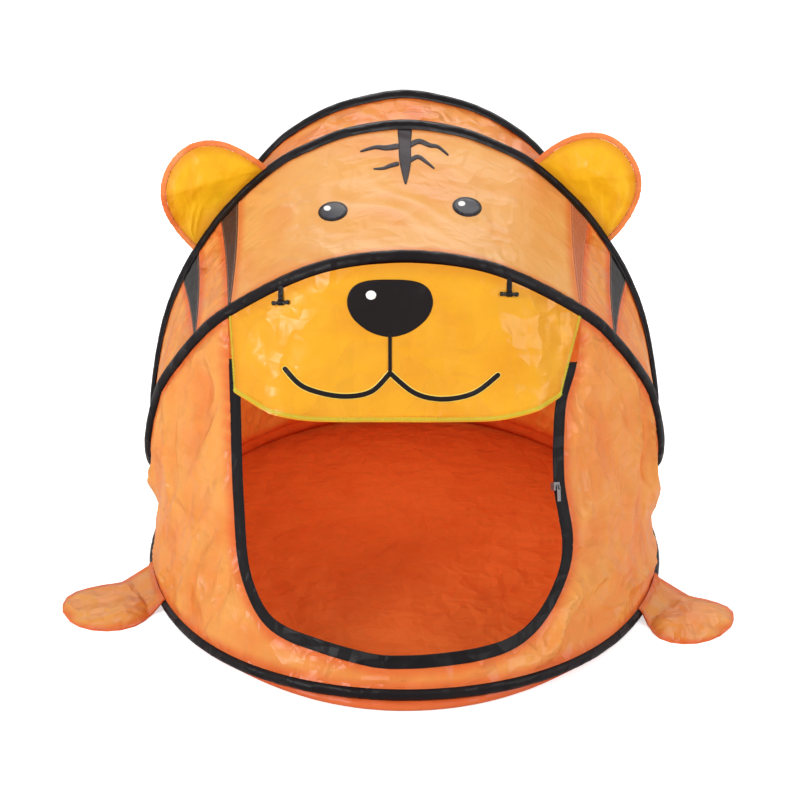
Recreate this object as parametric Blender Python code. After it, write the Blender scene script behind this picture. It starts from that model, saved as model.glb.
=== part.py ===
"""Pop-up play tent with an animal's face: three sprung wire loops in fabric sleeves, and the cloth between them.

The tent stands on its floor sheet. Its door faces -Y, +X is the right-hand side seen from the front and +Z is up.
The origin is the middle of the rectangle that it covers on the ground.
"""

import math

import bmesh
import bpy
import numpy as np
from mathutils import Matrix

# Cloth, clearances and wire
CLOTH = 0.0006
SEAM_GAP = 0.0003
BUTT_GAP = 0.0003
WIRE_WIDTH = 0.004
WIRE_THICKNESS = 0.0012
WIRE_CLEARANCE = 0.0005
FERRULE_WALL = 0.0007
FERRULE_LENGTH = 0.022
CUT_OVERRUN = 0.05

# Sleeves that hold the wires
SLEEVE_HALF_WIDTH = 0.0095
SLEEVE_HALF_DEPTH = 0.0075
SLEEVE_CLOTH = 0.0008
SLEEVE_SLIT_HALF_ANGLE = 14.0
SLEEVE_OUTER_POINTS = 8
SLEEVE_INNER_POINTS = 5

# Base ring
RING_HALF_WIDTH = 0.4873
RING_HALF_LENGTH = 0.660
RING_SIDE_HEIGHT = CLOTH + BUTT_GAP + SLEEVE_HALF_WIDTH
RING_END_HEIGHT = 0.0280
RING_LIFT_POWER = 4
FLOOR_BULGE = 0.009
FLOOR_TURN = 0.040
FLOOR_EDGE_SHARES = ((1.0, 0.0, -3.0), (0.6, 0.06, 0.7), (0.3, 0.50, 1.0), (0.0, 1.0, 0.0))

# Core of the cabin, from which the sleeves face outwards
CORE_Y = 0.05
CORE_Z = 0.30

# Front loop: the visor arch and the ridge arch
ARCH_HALF_WIDTH = 0.478
FRONT_CURL_Y = -0.060
FRONT_CURL_HEIGHT = 0.180
VISOR_Y = -0.360
VISOR_HEIGHT = 0.676
RIDGE_Y = 0.020
RIDGE_HEIGHT = 0.820

# Each row is an arch's share of the half width, of the way from curl to apex along Y, and of its rise
VISOR_SHARES = (
    (0.000, 1.000, 1.000),
    (0.226, 0.982, 0.974),
    (0.410, 0.922, 0.905),
    (0.638, 0.763, 0.760),
    (0.756, 0.640, 0.645),
    (0.885, 0.465, 0.471),
    (0.936, 0.384, 0.369),
    (0.981, 0.309, 0.202),
    (0.991, 0.170, 0.070),
)
RIDGE_SHARES = (
    (0.000, 1.000, 1.000),
    (0.199, 1.000, 0.981),
    (0.345, 0.990, 0.943),
    (0.492, 0.960, 0.886),
    (0.669, 0.888, 0.770),
    (0.791, 0.818, 0.654),
    (0.882, 0.750, 0.536),
    (0.948, 0.688, 0.400),
    (0.995, 0.638, 0.217),
    (1.000, 0.600, 0.125),
    (0.991, 0.400, 0.042),
)
CURL_WIDTH_SHARE = 0.967

# Rear loop: the arch behind the ridge and the arch over the rear wall
REAR_HALF_WIDTH = 0.470
REAR_CURL_Y = 0.215
REAR_CURL_HEIGHT = 0.185
CREST_Y = 0.130
CREST_HEIGHT = 0.855
RUMP_Y = 0.490
RUMP_HEIGHT = 0.640
CREST_SHARES = (
    (0.000, 1.000, 1.000),
    (0.172, 1.000, 0.981),
    (0.313, 0.990, 0.948),
    (0.447, 0.970, 0.893),
    (0.539, 0.950, 0.836),
    (0.690, 0.890, 0.710),
    (0.800, 0.820, 0.580),
    (0.890, 0.740, 0.440),
    (0.950, 0.660, 0.300),
    (0.985, 0.560, 0.160),
    (0.985, 0.380, 0.050),
)

# Shares of each half arch, apex to curl, at which the canopy's seams meet it
VISOR_SEAM_SHARES = (0.0, 0.394, 0.402, 0.514, 0.524, 1.0)
RIDGE_SEAM_SHARES = (0.0, 0.375, 0.429, 0.508, 0.577, 1.0)
EVEN_SEAM_SHARES = (0.0, 0.390, 0.420, 0.510, 0.550, 1.0)
SEAM_STEPS = (5, 1, 2, 1, 4)
RING_SIDE_STEPS = 5
CURVE_STEPS = 20

# Panels between the loops
CANOPY_ROWS = 5
CANOPY_SAG = 0.006
WALL_ROWS = 7
WALL_WAIST = 0.012
BODY_ROWS = 3
SKIRT_ROWS = 2
REAR_ROWS = 4
ROOF_STATION = 7

# Door opening in the front wall, and its zip. The rows go from the top left, round the sill, to the top right:
# shares of the half width and of the height from the sill to the side edges' top
DOOR_HALF_WIDTH = 0.280
DOOR_SILL_HEIGHT = 0.085
DOOR_SIDE_HEIGHT = 0.430
DOOR_SHARES = (
    (-1.030, 1.850),
    (-1.010, 1.250),
    (-1.000, 0.980),
    (-0.987, 0.668),
    (-0.973, 0.500),
    (-0.948, 0.290),
    (-0.897, 0.170),
    (-0.813, 0.085),
    (-0.700, 0.050),
    (-0.540, 0.036),
    (-0.349, 0.018),
    (-0.157, 0.000),
    (0.030, 0.000),
    (0.250, 0.004),
    (0.450, 0.008),
    (0.614, 0.022),
    (0.744, 0.064),
    (0.850, 0.142),
    (0.930, 0.250),
    (0.948, 0.359),
    (0.926, 0.474),
    (0.900, 0.588),
    (0.892, 0.704),
    (0.896, 0.850),
    (0.915, 1.000),
    (1.000, 1.250),
    (1.010, 1.850),
)
DOOR_SPAN_STEPS = 2
TAPE_WIDTH = 0.018
TAPE_THICKNESS = 0.003
TAPE_TOP_HEIGHT = 0.490

# Zip slider and puller
SLIDER_HEIGHT = 0.296
SLIDER_TRAVEL = 0.040
SLIDER_LENGTH = 0.014
SLIDER_WIDTH = 0.011
SLIDER_PLATE = 0.0016
SLIDER_POST = 0.0022
SLIDER_CLEARANCE = 0.0008
SLIDER_EDGE_CLEARANCE = 0.0024
BRIDGE_HOLE_LENGTH = 0.0030
BRIDGE_HOLE_HEIGHT = 0.0028
BRIDGE_WALL = 0.0012
BRIDGE_WIDTH = 0.0016
PULLER_LENGTH = 0.026
PULLER_WIDTH = 0.0075
PULLER_THICKNESS = 0.0014
PULLER_RAIL = 0.0016
PULLER_WINDOW = 0.0048

# Muzzle flap over the door
MUZZLE_BOTTOM_HALF_WIDTH = 0.287
MUZZLE_CENTRE_HEIGHT = 0.398
MUZZLE_CORNER_HEIGHT = 0.438
MUZZLE_CORNER_POWER = 3.0
MUZZLE_OFFSET = 0.0042
MUZZLE_HANG_SHARE = 0.38
MUZZLE_HANG_HALF_WIDTH = 0.225
MUZZLE_AXIS_HEIGHT = 0.575
MUZZLE_AXIS_SETBACK = 0.004
MUZZLE_SEAM_CENTRE_HEIGHT = 0.567
MUZZLE_SEAM_SIDE_HEIGHT = 0.535
MUZZLE_SEAM_GAP = 0.0010
MUZZLE_TRIES = 4
MUZZLE_TOP_ROWS = 3
MUZZLE_FLAP_ROWS = 6
MUZZLE_FOLD = 0.0030
MUZZLE_FOLD_WIDTH = 0.030
HEM_WIDTH = 0.010
HEM_THICKNESS = 0.0016

# Toggles that hang in front of the muzzle
TOGGLE_LEFT_X = -0.205
TOGGLE_RIGHT_X = 0.171
RIBBON_WIDTH = 0.009
RIBBON_THICKNESS = 0.001
RIBBON_LENGTH = 0.028
RIBBON_STANDOFF = 0.0062
RIBBON_SEAM_ANGLE = 55.0
BAR_LENGTH = 0.032
BAR_RADIUS = 0.0028
BAR_KNOB_RADIUS = 0.0038
BAR_SIDES = 8

# Rolled-up door cloth behind the muzzle, and the two straps that hold it
ROLL_RADIUS = 0.021
ROLL_DROP = 0.0144
ROLL_INSET = 0.0288
ROLL_LIP = 0.006
ROLL_POINTS = 12
STRAP_WIDTH = 0.015
STRAP_THICKNESS = 0.0012
STRAP_CLEARANCE = 0.0016
STRAP_STATION = 3

# Ears on the ridge arch
EAR_LEFT_SHARE = -0.402
EAR_RIGHT_SHARE = 0.382
EAR_HALF_WIDTH = 0.104
EAR_HEIGHT = 0.130
EAR_POWER = 2.15
EAR_LEAN_SHARE = -0.04
EAR_THICKNESS = 0.003
EAR_FOLD = 0.016
EAR_BINDING_WIDTH = 0.011
EAR_BINDING_THICKNESS = 0.005
EAR_CLEARANCE = 0.0004
EAR_SEAM_GAP = 0.0012
EAR_STEPS = 20
EAR_ROWS = 4

# Paws on the ground beside the door. A side's row: where its seam starts and ends along Y, and its turn forwards.
# An outline's row: shares of its length and of its half width, to the rear and to the front
PAW_LEFT = (-0.150, -0.308, 28.0)
PAW_RIGHT = (-0.200, -0.345, 36.0)
PAW_OUTLINE_SHARES = (
    (0.00, 0.65, 0.90),
    (0.12, 0.66, 1.04),
    (0.28, 0.70, 1.16),
    (0.48, 0.70, 1.18),
    (0.66, 0.66, 1.10),
    (0.82, 0.52, 0.94),
    (0.94, 0.26, 0.70),
    (1.00, 0.00, 0.42),
)
PAW_REACH = 0.605
PAW_LINE_OUT = 0.026
PAW_HALF_WIDTH = 0.098
PAW_SEAM_STEPS = 4
PAW_THICKNESS = 0.003
PAW_GROUND_GAP = 0.0004
PAW_FOLD_GAP = 0.0012
PAW_SEAT_GAP = 0.0008
PAW_CUFF_ANGLES = (80.0, 50.0, 20.0)
PAW_STEPS = 10
PAW_TRIES = 6

# Colours, as red, green and blue shares of full light in linear space
WALL_ORANGE = (0.84, 0.30, 0.085)
FACE_ORANGE = (0.88, 0.44, 0.15)
FLOOR_ORANGE = (0.68, 0.12, 0.025)
MUZZLE_YELLOW = (0.93, 0.48, 0.03)
EAR_YELLOW = (0.95, 0.55, 0.02)
HEM_LIME = (0.72, 0.62, 0.05)
SLEEVE_BLACK = (0.030, 0.020, 0.024)
MESH_BLACK = (0.035, 0.025, 0.028)
STEEL = (0.55, 0.55, 0.57)

X_AXIS = np.array([1.0, 0.0, 0.0])
Z_AXIS = np.array([0.0, 0.0, 1.0])
MIRROR_X = np.array([-1.0, 1.0, 1.0])


def unit(vector):
    return vector / np.linalg.norm(vector)


def across(vector, tangent):
    """The part of a vector that is square to a tangent, at unit length."""
    return unit(vector - tangent * np.dot(vector, tangent))


# Curves

def spline_point(before, start, end, after, t):
    """A point of the smooth curve between start and end."""
    turn = 2 * before - 5 * start + 4 * end - after
    twist = start * 3 + after - before - end * 3
    return (2 * start + (end - before) * t + turn * t**2 + twist * t**3) / 2


def catmull_rom(points):
    """A closed smooth curve through the points, with CURVE_STEPS samples a span."""
    count = len(points)
    dense = []
    for index in range(count):
        corners = [points[(index + k) % count] for k in (-1, 0, 1, 2)]
        dense += [spline_point(*corners, step / CURVE_STEPS) for step in range(CURVE_STEPS)]
    return np.array(dense)


def arch_points(shares, half_width, curl_y, curl_height, apex_y, apex_height):
    """The right half of an arch, from its apex down to just above its curl."""
    return [
        np.array(
            [
                x_share * half_width,
                curl_y + (apex_y - curl_y) * y_share,
                curl_height + (apex_height - curl_height) * z_share,
            ]
        )
        for x_share, y_share, z_share in shares
    ]


def loop_arches(front_half, rear_half, curl):
    """The two arches of one closed loop, as dense curves from the left curl to the right one."""
    mirrored = [point * MIRROR_X for point in front_half[:0:-1]]
    control = [curl * MIRROR_X] + mirrored + front_half + [curl]
    control += rear_half[::-1] + [point * MIRROR_X for point in rear_half[1:]]
    dense = catmull_rom(control)
    turn = (2 * len(front_half)) * CURVE_STEPS
    front = dense[: turn + 1]
    rear = np.concatenate([dense[turn:], dense[:1]])[::-1]
    return front, rear


def at_arc_shares(dense, shares):
    """Points at shares of a curve's length."""
    steps = np.linalg.norm(np.diff(dense, axis=0), axis=1)
    along = np.concatenate([[0], np.cumsum(steps)])
    wanted = np.asarray(shares) * along[-1]
    return np.stack([np.interp(wanted, along, dense[:, k]) for k in range(3)], axis=1)


def half_shares(seam_shares):
    """The stations of a half arch: each stretch between two seams in even steps."""
    found = [seam_shares[0]]
    for start, end, steps in zip(seam_shares, seam_shares[1:], SEAM_STEPS):
        found += [start + (end - start) * step / steps for step in range(1, steps + 1)]
    return np.array(found)


def full_shares(seam_shares):
    """The stations of a whole arch from left to right, as shares of its length."""
    half = half_shares(seam_shares)
    return np.concatenate([(1 - half[::-1]) / 2, (1 + half[1:]) / 2])


def ring_point(angle):
    """A point of the base ring: an ellipse that lifts a little at the front and the rear."""
    c, s = math.cos(angle), math.sin(angle)
    height = RING_SIDE_HEIGHT + (RING_END_HEIGHT - RING_SIDE_HEIGHT) * abs(s) ** RING_LIFT_POWER
    return np.array([RING_HALF_WIDTH * c, RING_HALF_LENGTH * s, height])


def ring_between(start, end):
    """A dense stretch of the base ring between two angles."""
    count = CURVE_STEPS * CURVE_STEPS
    return np.array([ring_point(start + (end - start) * k / count) for k in range(count + 1)])


def ring_angle_at(y):
    """The angle on the right-hand side where the ring passes a place along Y."""
    return math.asin(y / RING_HALF_LENGTH)


class Arch:
    """A row of stations along a sleeve: places, tangents, outward normals and directions to the outer edge."""

    def __init__(self, points, before, after):
        line = np.concatenate([[before], points, [after]])
        self.points = np.asarray(points)
        self.tangents = np.array(
            [unit(unit(line[k + 1] - line[k]) + unit(line[k] - line[k - 1])) for k in range(1, len(line) - 1)]
        )
        core = np.array([0, CORE_Y, CORE_Z])
        self.normals = np.array([across(p - core, t) for p, t in zip(self.points, self.tangents)])
        self.outers = np.cross(self.tangents, self.normals)

    def edge(self, side):
        """The line where cloth butts against the sleeve: side 1 is the loop's outside and -1 its inside."""
        reach = SLEEVE_HALF_WIDTH + BUTT_GAP
        return self.points + side * reach * self.outers


def make_loop(first, second):
    """Two arches that share their curls, with frames that run round the whole loop."""
    front = Arch(first, second[1], second[-2])
    rear = Arch(second, first[1], first[-2])
    for arch in (front, rear):
        side = np.sign(arch.outers[0] @ -Z_AXIS)
        arch.outers = arch.outers * side
    return front, rear


# Meshes

def new_object(name, mesh_data, material):
    mesh_data.name = name
    obj = bpy.data.objects.new(name, mesh_data)
    bpy.context.scene.collection.objects.link(obj)
    mesh_data.materials.append(material)
    return obj


def mesh_from(vertices, faces):
    """A mesh with coincident points joined and its faces turned outwards."""
    bm = bmesh.new()
    made = [bm.verts.new(tuple(float(c) for c in v)) for v in vertices]
    for face in faces:
        corners = [made[k] for k in face]
        if len(set(corners)) == len(corners):
            bm.faces.new(corners)
    bmesh.ops.remove_doubles(bm, verts=bm.verts, dist=SEAM_GAP / 10)
    bmesh.ops.recalc_face_normals(bm, faces=bm.faces)
    mesh = bpy.data.meshes.new("mesh")
    bm.to_mesh(mesh)
    bm.free()
    mesh.shade_smooth()
    mesh.set_sharp_from_angle(angle=math.radians(40))
    return mesh


def skin(grid, thickness):
    """A closed sheet of cloth of even thickness about a grid of points. Both faces are split along the same diagonals."""
    grid = np.asarray(grid, float)
    rows, columns = grid.shape[:2]
    along = np.gradient(grid, axis=0)
    beside = np.gradient(grid, axis=1)
    normals = np.cross(along, beside)
    lengths = np.linalg.norm(normals, axis=2, keepdims=True)
    flat = lengths[..., 0] < np.max(lengths) * 1e-6
    if flat.any():
        normals[flat] = np.mean(normals[~flat], axis=0)
        lengths = np.linalg.norm(normals, axis=2, keepdims=True)
    normals = normals / lengths
    upper = (grid + normals * thickness / 2).reshape(-1, 3)
    lower = (grid - normals * thickness / 2).reshape(-1, 3)
    vertices = np.concatenate([upper, lower])
    shift = rows * columns
    faces = []
    for i in range(rows - 1):
        for j in range(columns - 1):
            a, b = i * columns + j, i * columns + j + 1
            c, d = b + columns, a + columns
            for p, q, r in ((a, b, c), (a, c, d)):
                faces += [(p, q, r), (shift + r, shift + q, shift + p)]
    rim = [j for j in range(columns)]
    rim += [i * columns + columns - 1 for i in range(1, rows)]
    rim += [(rows - 1) * columns + j for j in range(columns - 2, -1, -1)]
    rim += [i * columns for i in range(rows - 2, 0, -1)]
    for a, b in zip(rim, rim[1:] + rim[:1]):
        faces.append((b, a, shift + a, shift + b))
    return mesh_from(vertices, faces)


def sweep(points, wides, deeps, section, closed):
    """A section of (wide, deep) places carried along a line of points."""
    count, sides = len(points), len(section)
    vertices = [p + a * w + b * n for p, w, n in zip(points, wides, deeps) for a, b in section]
    spans = count if closed else count - 1
    faces = []
    for i in range(spans):
        here, there = i * sides, (i + 1) % count * sides
        for k in range(sides):
            after = (k + 1) % sides
            faces += [(here + k, here + after, there + after), (here + k, there + after, there + k)]
    if not closed:
        faces.append(tuple(range(sides)))
        faces.append(tuple(range((count - 1) * sides, count * sides))[::-1])
    return mesh_from(vertices, faces)


def prism(outline, start, end, name):
    """A hidden cutter: an outline in X and Z, carried from one place along Y to another."""
    count = len(outline)
    vertices = [(x, start, z) for x, z in outline] + [(x, end, z) for x, z in outline]
    faces = [(k, (k + 1) % count, count + (k + 1) % count, count + k) for k in range(count)]
    faces += [tuple(range(count))[::-1], tuple(range(count, 2 * count))]
    cutter = bpy.data.objects.new(name, mesh_from(vertices, faces))
    bpy.context.scene.collection.objects.link(cutter)
    cutter.hide_render = True
    cutter.display_type = "WIRE"
    return cutter


def boolean(obj, cutter, operation):
    modifier = obj.modifiers.new(operation.lower(), "BOOLEAN")
    modifier.object = cutter
    modifier.operation = operation
    modifier.solver = "EXACT"


def box_mesh(low, high):
    corners = [(x, y, z) for x in (low[0], high[0]) for y in (low[1], high[1]) for z in (low[2], high[2])]
    faces = [(0, 1, 3, 2), (4, 6, 7, 5), (0, 4, 5, 1), (2, 3, 7, 6), (0, 2, 6, 4), (1, 5, 7, 3)]
    return mesh_from(corners, faces)


def carry(obj, origin, axes):
    """Puts a mesh made about its own origin in place, its X, Y and Z along three directions."""
    matrix = np.eye(4)
    matrix[:3, :3] = np.stack(axes, axis=1)
    matrix[:3, 3] = origin
    obj.matrix_world = Matrix(matrix.tolist())


def hinge_empty(name, place, children):
    """An empty on a joint's axis, with the pieces that turn about it as its children."""
    empty = bpy.data.objects.new(name, None)
    empty.location = [float(c) for c in place]
    empty.empty_display_size = SLEEVE_HALF_WIDTH
    bpy.context.scene.collection.objects.link(empty)
    bpy.context.view_layer.update()
    for child in children:
        child.parent = empty
        child.matrix_parent_inverse = empty.matrix_world.inverted()
    return empty


def finish(name, colour, roughness, metallic=0.0):
    material = bpy.data.materials.new(name)
    material.use_nodes = True
    shader = material.node_tree.nodes["Principled BSDF"]
    shader.inputs["Base Color"].default_value = (*colour, 1.0)
    shader.inputs["Roughness"].default_value = roughness
    shader.inputs["Metallic"].default_value = metallic
    material.diffuse_color = (*colour, 1.0)
    return material


# Sleeves, wires and ferrules

def sleeve_section():
    """A flattened tube of cloth with a slit on its inner side, where the panels are sewn in."""
    slit = math.radians(SLEEVE_SLIT_HALF_ANGLE)
    section = []
    for inset, points, back in ((0, SLEEVE_OUTER_POINTS, False), (SLEEVE_CLOTH, SLEEVE_INNER_POINTS, True)):
        angles = np.linspace(slit, 2 * math.pi - slit, points)
        if back:
            angles = angles[::-1]
        section += [
            ((SLEEVE_HALF_WIDTH - inset) * math.sin(a), -(SLEEVE_HALF_DEPTH - inset) * math.cos(a)) for a in angles
        ]
    return section


def ferrule_half_sizes():
    inner = (WIRE_WIDTH / 2 + WIRE_CLEARANCE, WIRE_THICKNESS / 2 + WIRE_CLEARANCE)
    return inner, (inner[0] + FERRULE_WALL, inner[1] + FERRULE_WALL)


def wire_seat():
    """How far out of the sleeve's middle the wire lies, so that its ferrule rests on the cloth inside."""
    half_width, half_depth = ferrule_half_sizes()[1]
    lining = sorted(sleeve_section()[SLEEVE_OUTER_POINTS:], key=lambda place: place[0])
    outside = [(a, b) for a, b in lining if b > 0]
    cloth = np.interp(half_width, [a for a, _ in outside], [b for _, b in outside])
    return cloth - half_depth - BUTT_GAP


def rectangle(half_width, half_depth, seat):
    return [
        (half_width, seat + half_depth),
        (-half_width, seat + half_depth),
        (-half_width, seat - half_depth),
        (half_width, seat - half_depth),
    ]


def hoop(name, points, wides, deeps, cloth, steel, ferrule_station):
    """One closed loop: the sleeve, the flat spring wire in it and the ferrule that closes the wire."""
    sleeve = new_object(f"{name}_sleeve", sweep(points, wides, deeps, sleeve_section(), True), cloth)
    section = rectangle(WIRE_WIDTH / 2, WIRE_THICKNESS / 2, wire_seat())
    wire = new_object(f"{name}_wire", sweep(points, wides, deeps, section, True), steel)
    ends = [ferrule_station, ferrule_station + 1]
    lines = [points[k] + deeps[k] * wire_seat() for k in ends]
    along = unit(lines[1] - lines[0])
    wide = across(wides[ends[0]] + wides[ends[1]], along)
    deep = np.cross(along, wide)
    middle = (lines[0] + lines[1]) / 2
    centres = [middle - along * FERRULE_LENGTH / 2, middle + along * FERRULE_LENGTH / 2]
    inner, outer = ferrule_half_sizes()
    rings = []
    for centre in centres:
        for half_width, half_depth in (outer, inner):
            rings.append([centre + a * wide + b * deep for a, b in rectangle(half_width, half_depth, 0)])
    vertices = [corner for ring in rings for corner in ring]
    faces = []
    for k in range(4):
        after = (k + 1) % 4
        faces.append((k, after, 8 + after, 8 + k))
        faces.append((4 + k, 12 + k, 12 + after, 4 + after))
        faces.append((k, 4 + k, 4 + after, after))
        faces.append((8 + k, 8 + after, 12 + after, 12 + k))
    ferrule = new_object(f"{name}_ferrule", mesh_from(vertices, faces), steel)
    return sleeve, wire, ferrule


# Cloth between two edges

def loft(top, bottom, rows, sag, core):
    """Rows of points from one edge to another, drawn in towards the cabin by the cloth's tension."""
    grid = []
    for i in range(rows + 1):
        t = i / rows
        row = (1 - t) * top + t * bottom
        grid.append(row)
    grid = np.array(grid)
    inwards = core - grid
    lengths = np.linalg.norm(inwards, axis=2, keepdims=True)
    spans = np.linalg.norm(bottom - top, axis=1)
    pull = sag * np.sin(np.pi * np.arange(rows + 1) / rows)[:, None] * spans / spans.max()
    return grid + inwards / lengths * pull[..., None]


def trimmed(grid, first, last, total):
    """A range of a grid's columns, with half the seam gap taken off at each seam inside the panel."""
    part = grid[:, first : last + 1].copy()
    if first > 0:
        step = part[:, 1] - part[:, 0]
        part[:, 0] += step / np.linalg.norm(step, axis=1, keepdims=True) * SEAM_GAP / 2
    if last < total:
        step = part[:, -2] - part[:, -1]
        part[:, -1] += step / np.linalg.norm(step, axis=1, keepdims=True) * SEAM_GAP / 2
    return part


# The front wall as a surface that other pieces can be laid on

class Wall:
    """The front wall between the visor and the base ring, read by station and height or by X and Z."""

    def __init__(self, top, bottom):
        self.top, self.bottom = top, bottom
        self.core = np.array([0, CORE_Y, CORE_Z])
        self.last = len(top) - 1

    def point(self, station, v):
        station = min(max(station, 0), self.last)
        index = min(int(station), self.last - 1)
        part = station - index
        top = self.top[index] * (1 - part) + self.top[index + 1] * part
        bottom = self.bottom[index] * (1 - part) + self.bottom[index + 1] * part
        flat = top * (1 - v) + bottom * v
        inwards = unit(self.core - flat)
        return flat + inwards * WALL_WAIST * math.sin(math.pi * min(max(v, 0), 1))

    def solve(self, x, z):
        """The station and height share whose point has this X and Z."""
        low, high = 0.0, float(self.last)
        v = 0.5
        for _ in range(30):
            low, high = 0.0, float(self.last)
            for _ in range(30):
                middle = (low + high) / 2
                if self.point(middle, v)[0] < x:
                    low = middle
                else:
                    high = middle
            station = (low + high) / 2
            here = self.point(station, v)[2]
            rise = self.point(station, 0)[2] - self.point(station, 1)[2]
            v += (here - z) / rise
        return station, v

    def depth(self, x, z):
        return self.point(*self.solve(x, z))[1]

    def normal(self, x, z):
        """The direction out of the tent at a place on the wall."""
        step = TAPE_WIDTH
        here = np.array([x, self.depth(x, z), z])
        beside = np.array([x + step, self.depth(x + step, z), z]) - here
        above = np.array([x, self.depth(x, z + step), z + step]) - here
        return unit(np.cross(beside, above))


# Door outline, in X and Z

def door_outline(grow):
    """The inner edge of the door's tape from its top left to its top right, moved outwards by grow."""
    height = DOOR_SIDE_HEIGHT - DOOR_SILL_HEIGHT
    knots = np.array([(a * DOOR_HALF_WIDTH, DOOR_SILL_HEIGHT + b * height) for a, b in DOOR_SHARES])
    points = []
    for k in range(len(knots) - 1):
        before, start, end, after = knots[max(k - 1, 0)], knots[k], knots[k + 1], knots[min(k + 2, len(knots) - 1)]
        for step in range(DOOR_SPAN_STEPS):
            points.append(spline_point(before, start, end, after, step / DOOR_SPAN_STEPS))
    points.append(knots[-1])
    points = np.array(points)
    along = np.gradient(points, axis=0)
    along = along / np.linalg.norm(along, axis=1, keepdims=True)
    return points + np.stack([along[:, 1], -along[:, 0]], axis=1) * grow


def band_outline(inner, outer, top):
    """A closed outline between two door edges, cut off level at a height."""
    inside, outside = door_outline(inner), door_outline(outer)
    kept = [(inside[k], outside[k]) for k in range(len(inside)) if inside[k][1] < top]
    return [tuple(b) for _, b in kept] + [tuple(a) for a, _ in kept[::-1]]


def door_edge_x(height):
    """How far along X the tape's right-hand inner edge is at a height."""
    edge = door_outline(0)
    edge = edge[len(edge) * 3 // 4 :]
    return float(np.interp(height, edge[:, 1], edge[:, 0]))


def build_front_walls(wall, cloth):
    columns = wall.last
    grid = np.array(
        [[wall.point(j, i / WALL_ROWS) for j in range(columns + 1)] for i in range(WALL_ROWS + 1)]
    )
    grid[:, 0] += seam_step(grid, 0, 1)
    grid[:, -1] += seam_step(grid, -1, -2)
    middle = columns // 2
    front = -RING_HALF_LENGTH - CUT_OVERRUN
    rear = RING_HALF_LENGTH
    cutter = prism(door_outline(TAPE_WIDTH + SEAM_GAP), front, rear, "door_cutter")
    made = []
    for name, first, last in (("front_wall_left", 0, middle), ("front_wall_right", middle, columns)):
        panel = new_object(name, skin(trimmed(grid, first, last, columns), CLOTH), cloth)
        boolean(panel, cutter, "DIFFERENCE")
        made.append(panel)
    return made


def seam_step(grid, at, beside):
    """Half a seam gap from one column of a grid towards the next."""
    step = grid[:, beside] - grid[:, at]
    return step / np.linalg.norm(step, axis=1, keepdims=True) * SEAM_GAP / 2


def build_zip_tape(wall, cloth):
    """The binding round the door with the zip's half on its inner edge, cut from the wall's own surface."""
    grid = np.array(
        [[wall.point(j, i / WALL_ROWS) for j in range(wall.last + 1)] for i in range(WALL_ROWS + 1)]
    )
    tape = new_object("door_zip_tape", skin(grid, TAPE_THICKNESS), cloth)
    outline = band_outline(0, TAPE_WIDTH, TAPE_TOP_HEIGHT)
    band = prism(outline, -RING_HALF_LENGTH - CUT_OVERRUN, RING_HALF_LENGTH, "zip_tape_band")
    boolean(tape, band, "INTERSECT")
    return tape


# Muzzle

def muzzle_bottom(x):
    share = min(abs(x) / MUZZLE_BOTTOM_HALF_WIDTH, 1)
    rise = MUZZLE_CORNER_HEIGHT - MUZZLE_CENTRE_HEIGHT
    return MUZZLE_CENTRE_HEIGHT + rise * share**MUZZLE_CORNER_POWER


def muzzle_place(wall, x, z, top_height):
    """A place on the muzzle: over the wall at the sides, hanging straighter in the middle, with two slack folds."""
    share = min(abs(x) / MUZZLE_HANG_HALF_WIDTH, 1)
    hang = MUZZLE_HANG_SHARE * (top_height - z) * (1 - share**2)
    fold = 0.0
    for side in (-1, 1):
        across_fold = (side * x - (top_height - z) * 0.6 - MUZZLE_FOLD_WIDTH) * 0.85
        fold += math.exp(-((across_fold / MUZZLE_FOLD_WIDTH) ** 2))
    fold *= MUZZLE_FOLD * (1 - share**2)
    y = wall.depth(x, z) - MUZZLE_OFFSET + hang - fold
    return np.array([x, y, z])


def muzzle_seam(x):
    """How high the seam runs between the sewn upper part of the muzzle and its free flap."""
    share = min(abs(x) / MUZZLE_BOTTOM_HALF_WIDTH, 1)
    return MUZZLE_SEAM_CENTRE_HEIGHT + (MUZZLE_SEAM_SIDE_HEIGHT - MUZZLE_SEAM_CENTRE_HEIGHT) * share**2


def muzzle_rows(wall, visor_edge, first, last, start, end, rows):
    """Rows of the muzzle from one height to another, each height a function of X. None is the visor's edge."""
    grid = []
    for i in range(rows + 1):
        row = []
        for station in range(first, last + 1):
            top = visor_edge[station]
            bottom_x = top[0] * MUZZLE_BOTTOM_HALF_WIDTH / abs(visor_edge[last][0])
            x = top[0]
            for _ in range(MUZZLE_TRIES):
                high = top[2] if start is None else start(x)
                z = high + (end(x) - high) * i / rows
                x = top[0] + (bottom_x - top[0]) * (top[2] - z) / (top[2] - muzzle_bottom(bottom_x))
            row.append(muzzle_place(wall, x, z, top[2]))
        grid.append(row)
    return np.array(grid)


def build_muzzle(wall, visor_edge, first, last, yellow, lime):
    half_gap = MUZZLE_SEAM_GAP / 2
    hem_top = HEM_WIDTH + SEAM_GAP
    span = (wall, visor_edge, first, last)
    top_grid = muzzle_rows(*span, None, lambda x: muzzle_seam(x) + half_gap, MUZZLE_TOP_ROWS)
    flap_grid = muzzle_rows(
        *span, lambda x: muzzle_seam(x) - half_gap, lambda x: muzzle_bottom(x) + hem_top, MUZZLE_FLAP_ROWS
    )
    hem_grid = muzzle_rows(*span, lambda x: muzzle_bottom(x) + HEM_WIDTH, muzzle_bottom, 1)
    new_object("muzzle_top", skin(top_grid, CLOTH), yellow)
    flap = new_object("muzzle_flap", skin(flap_grid, CLOTH), yellow)
    band = new_object("muzzle_hem", skin(hem_grid, HEM_THICKNESS), lime)
    place = flap_grid[0][(last - first) // 2].copy()
    place[1] += MUZZLE_AXIS_SETBACK
    place[2] = MUZZLE_AXIS_HEIGHT
    hinge_empty("muzzle_hinge", place, [flap, band])


# Toggles

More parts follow.
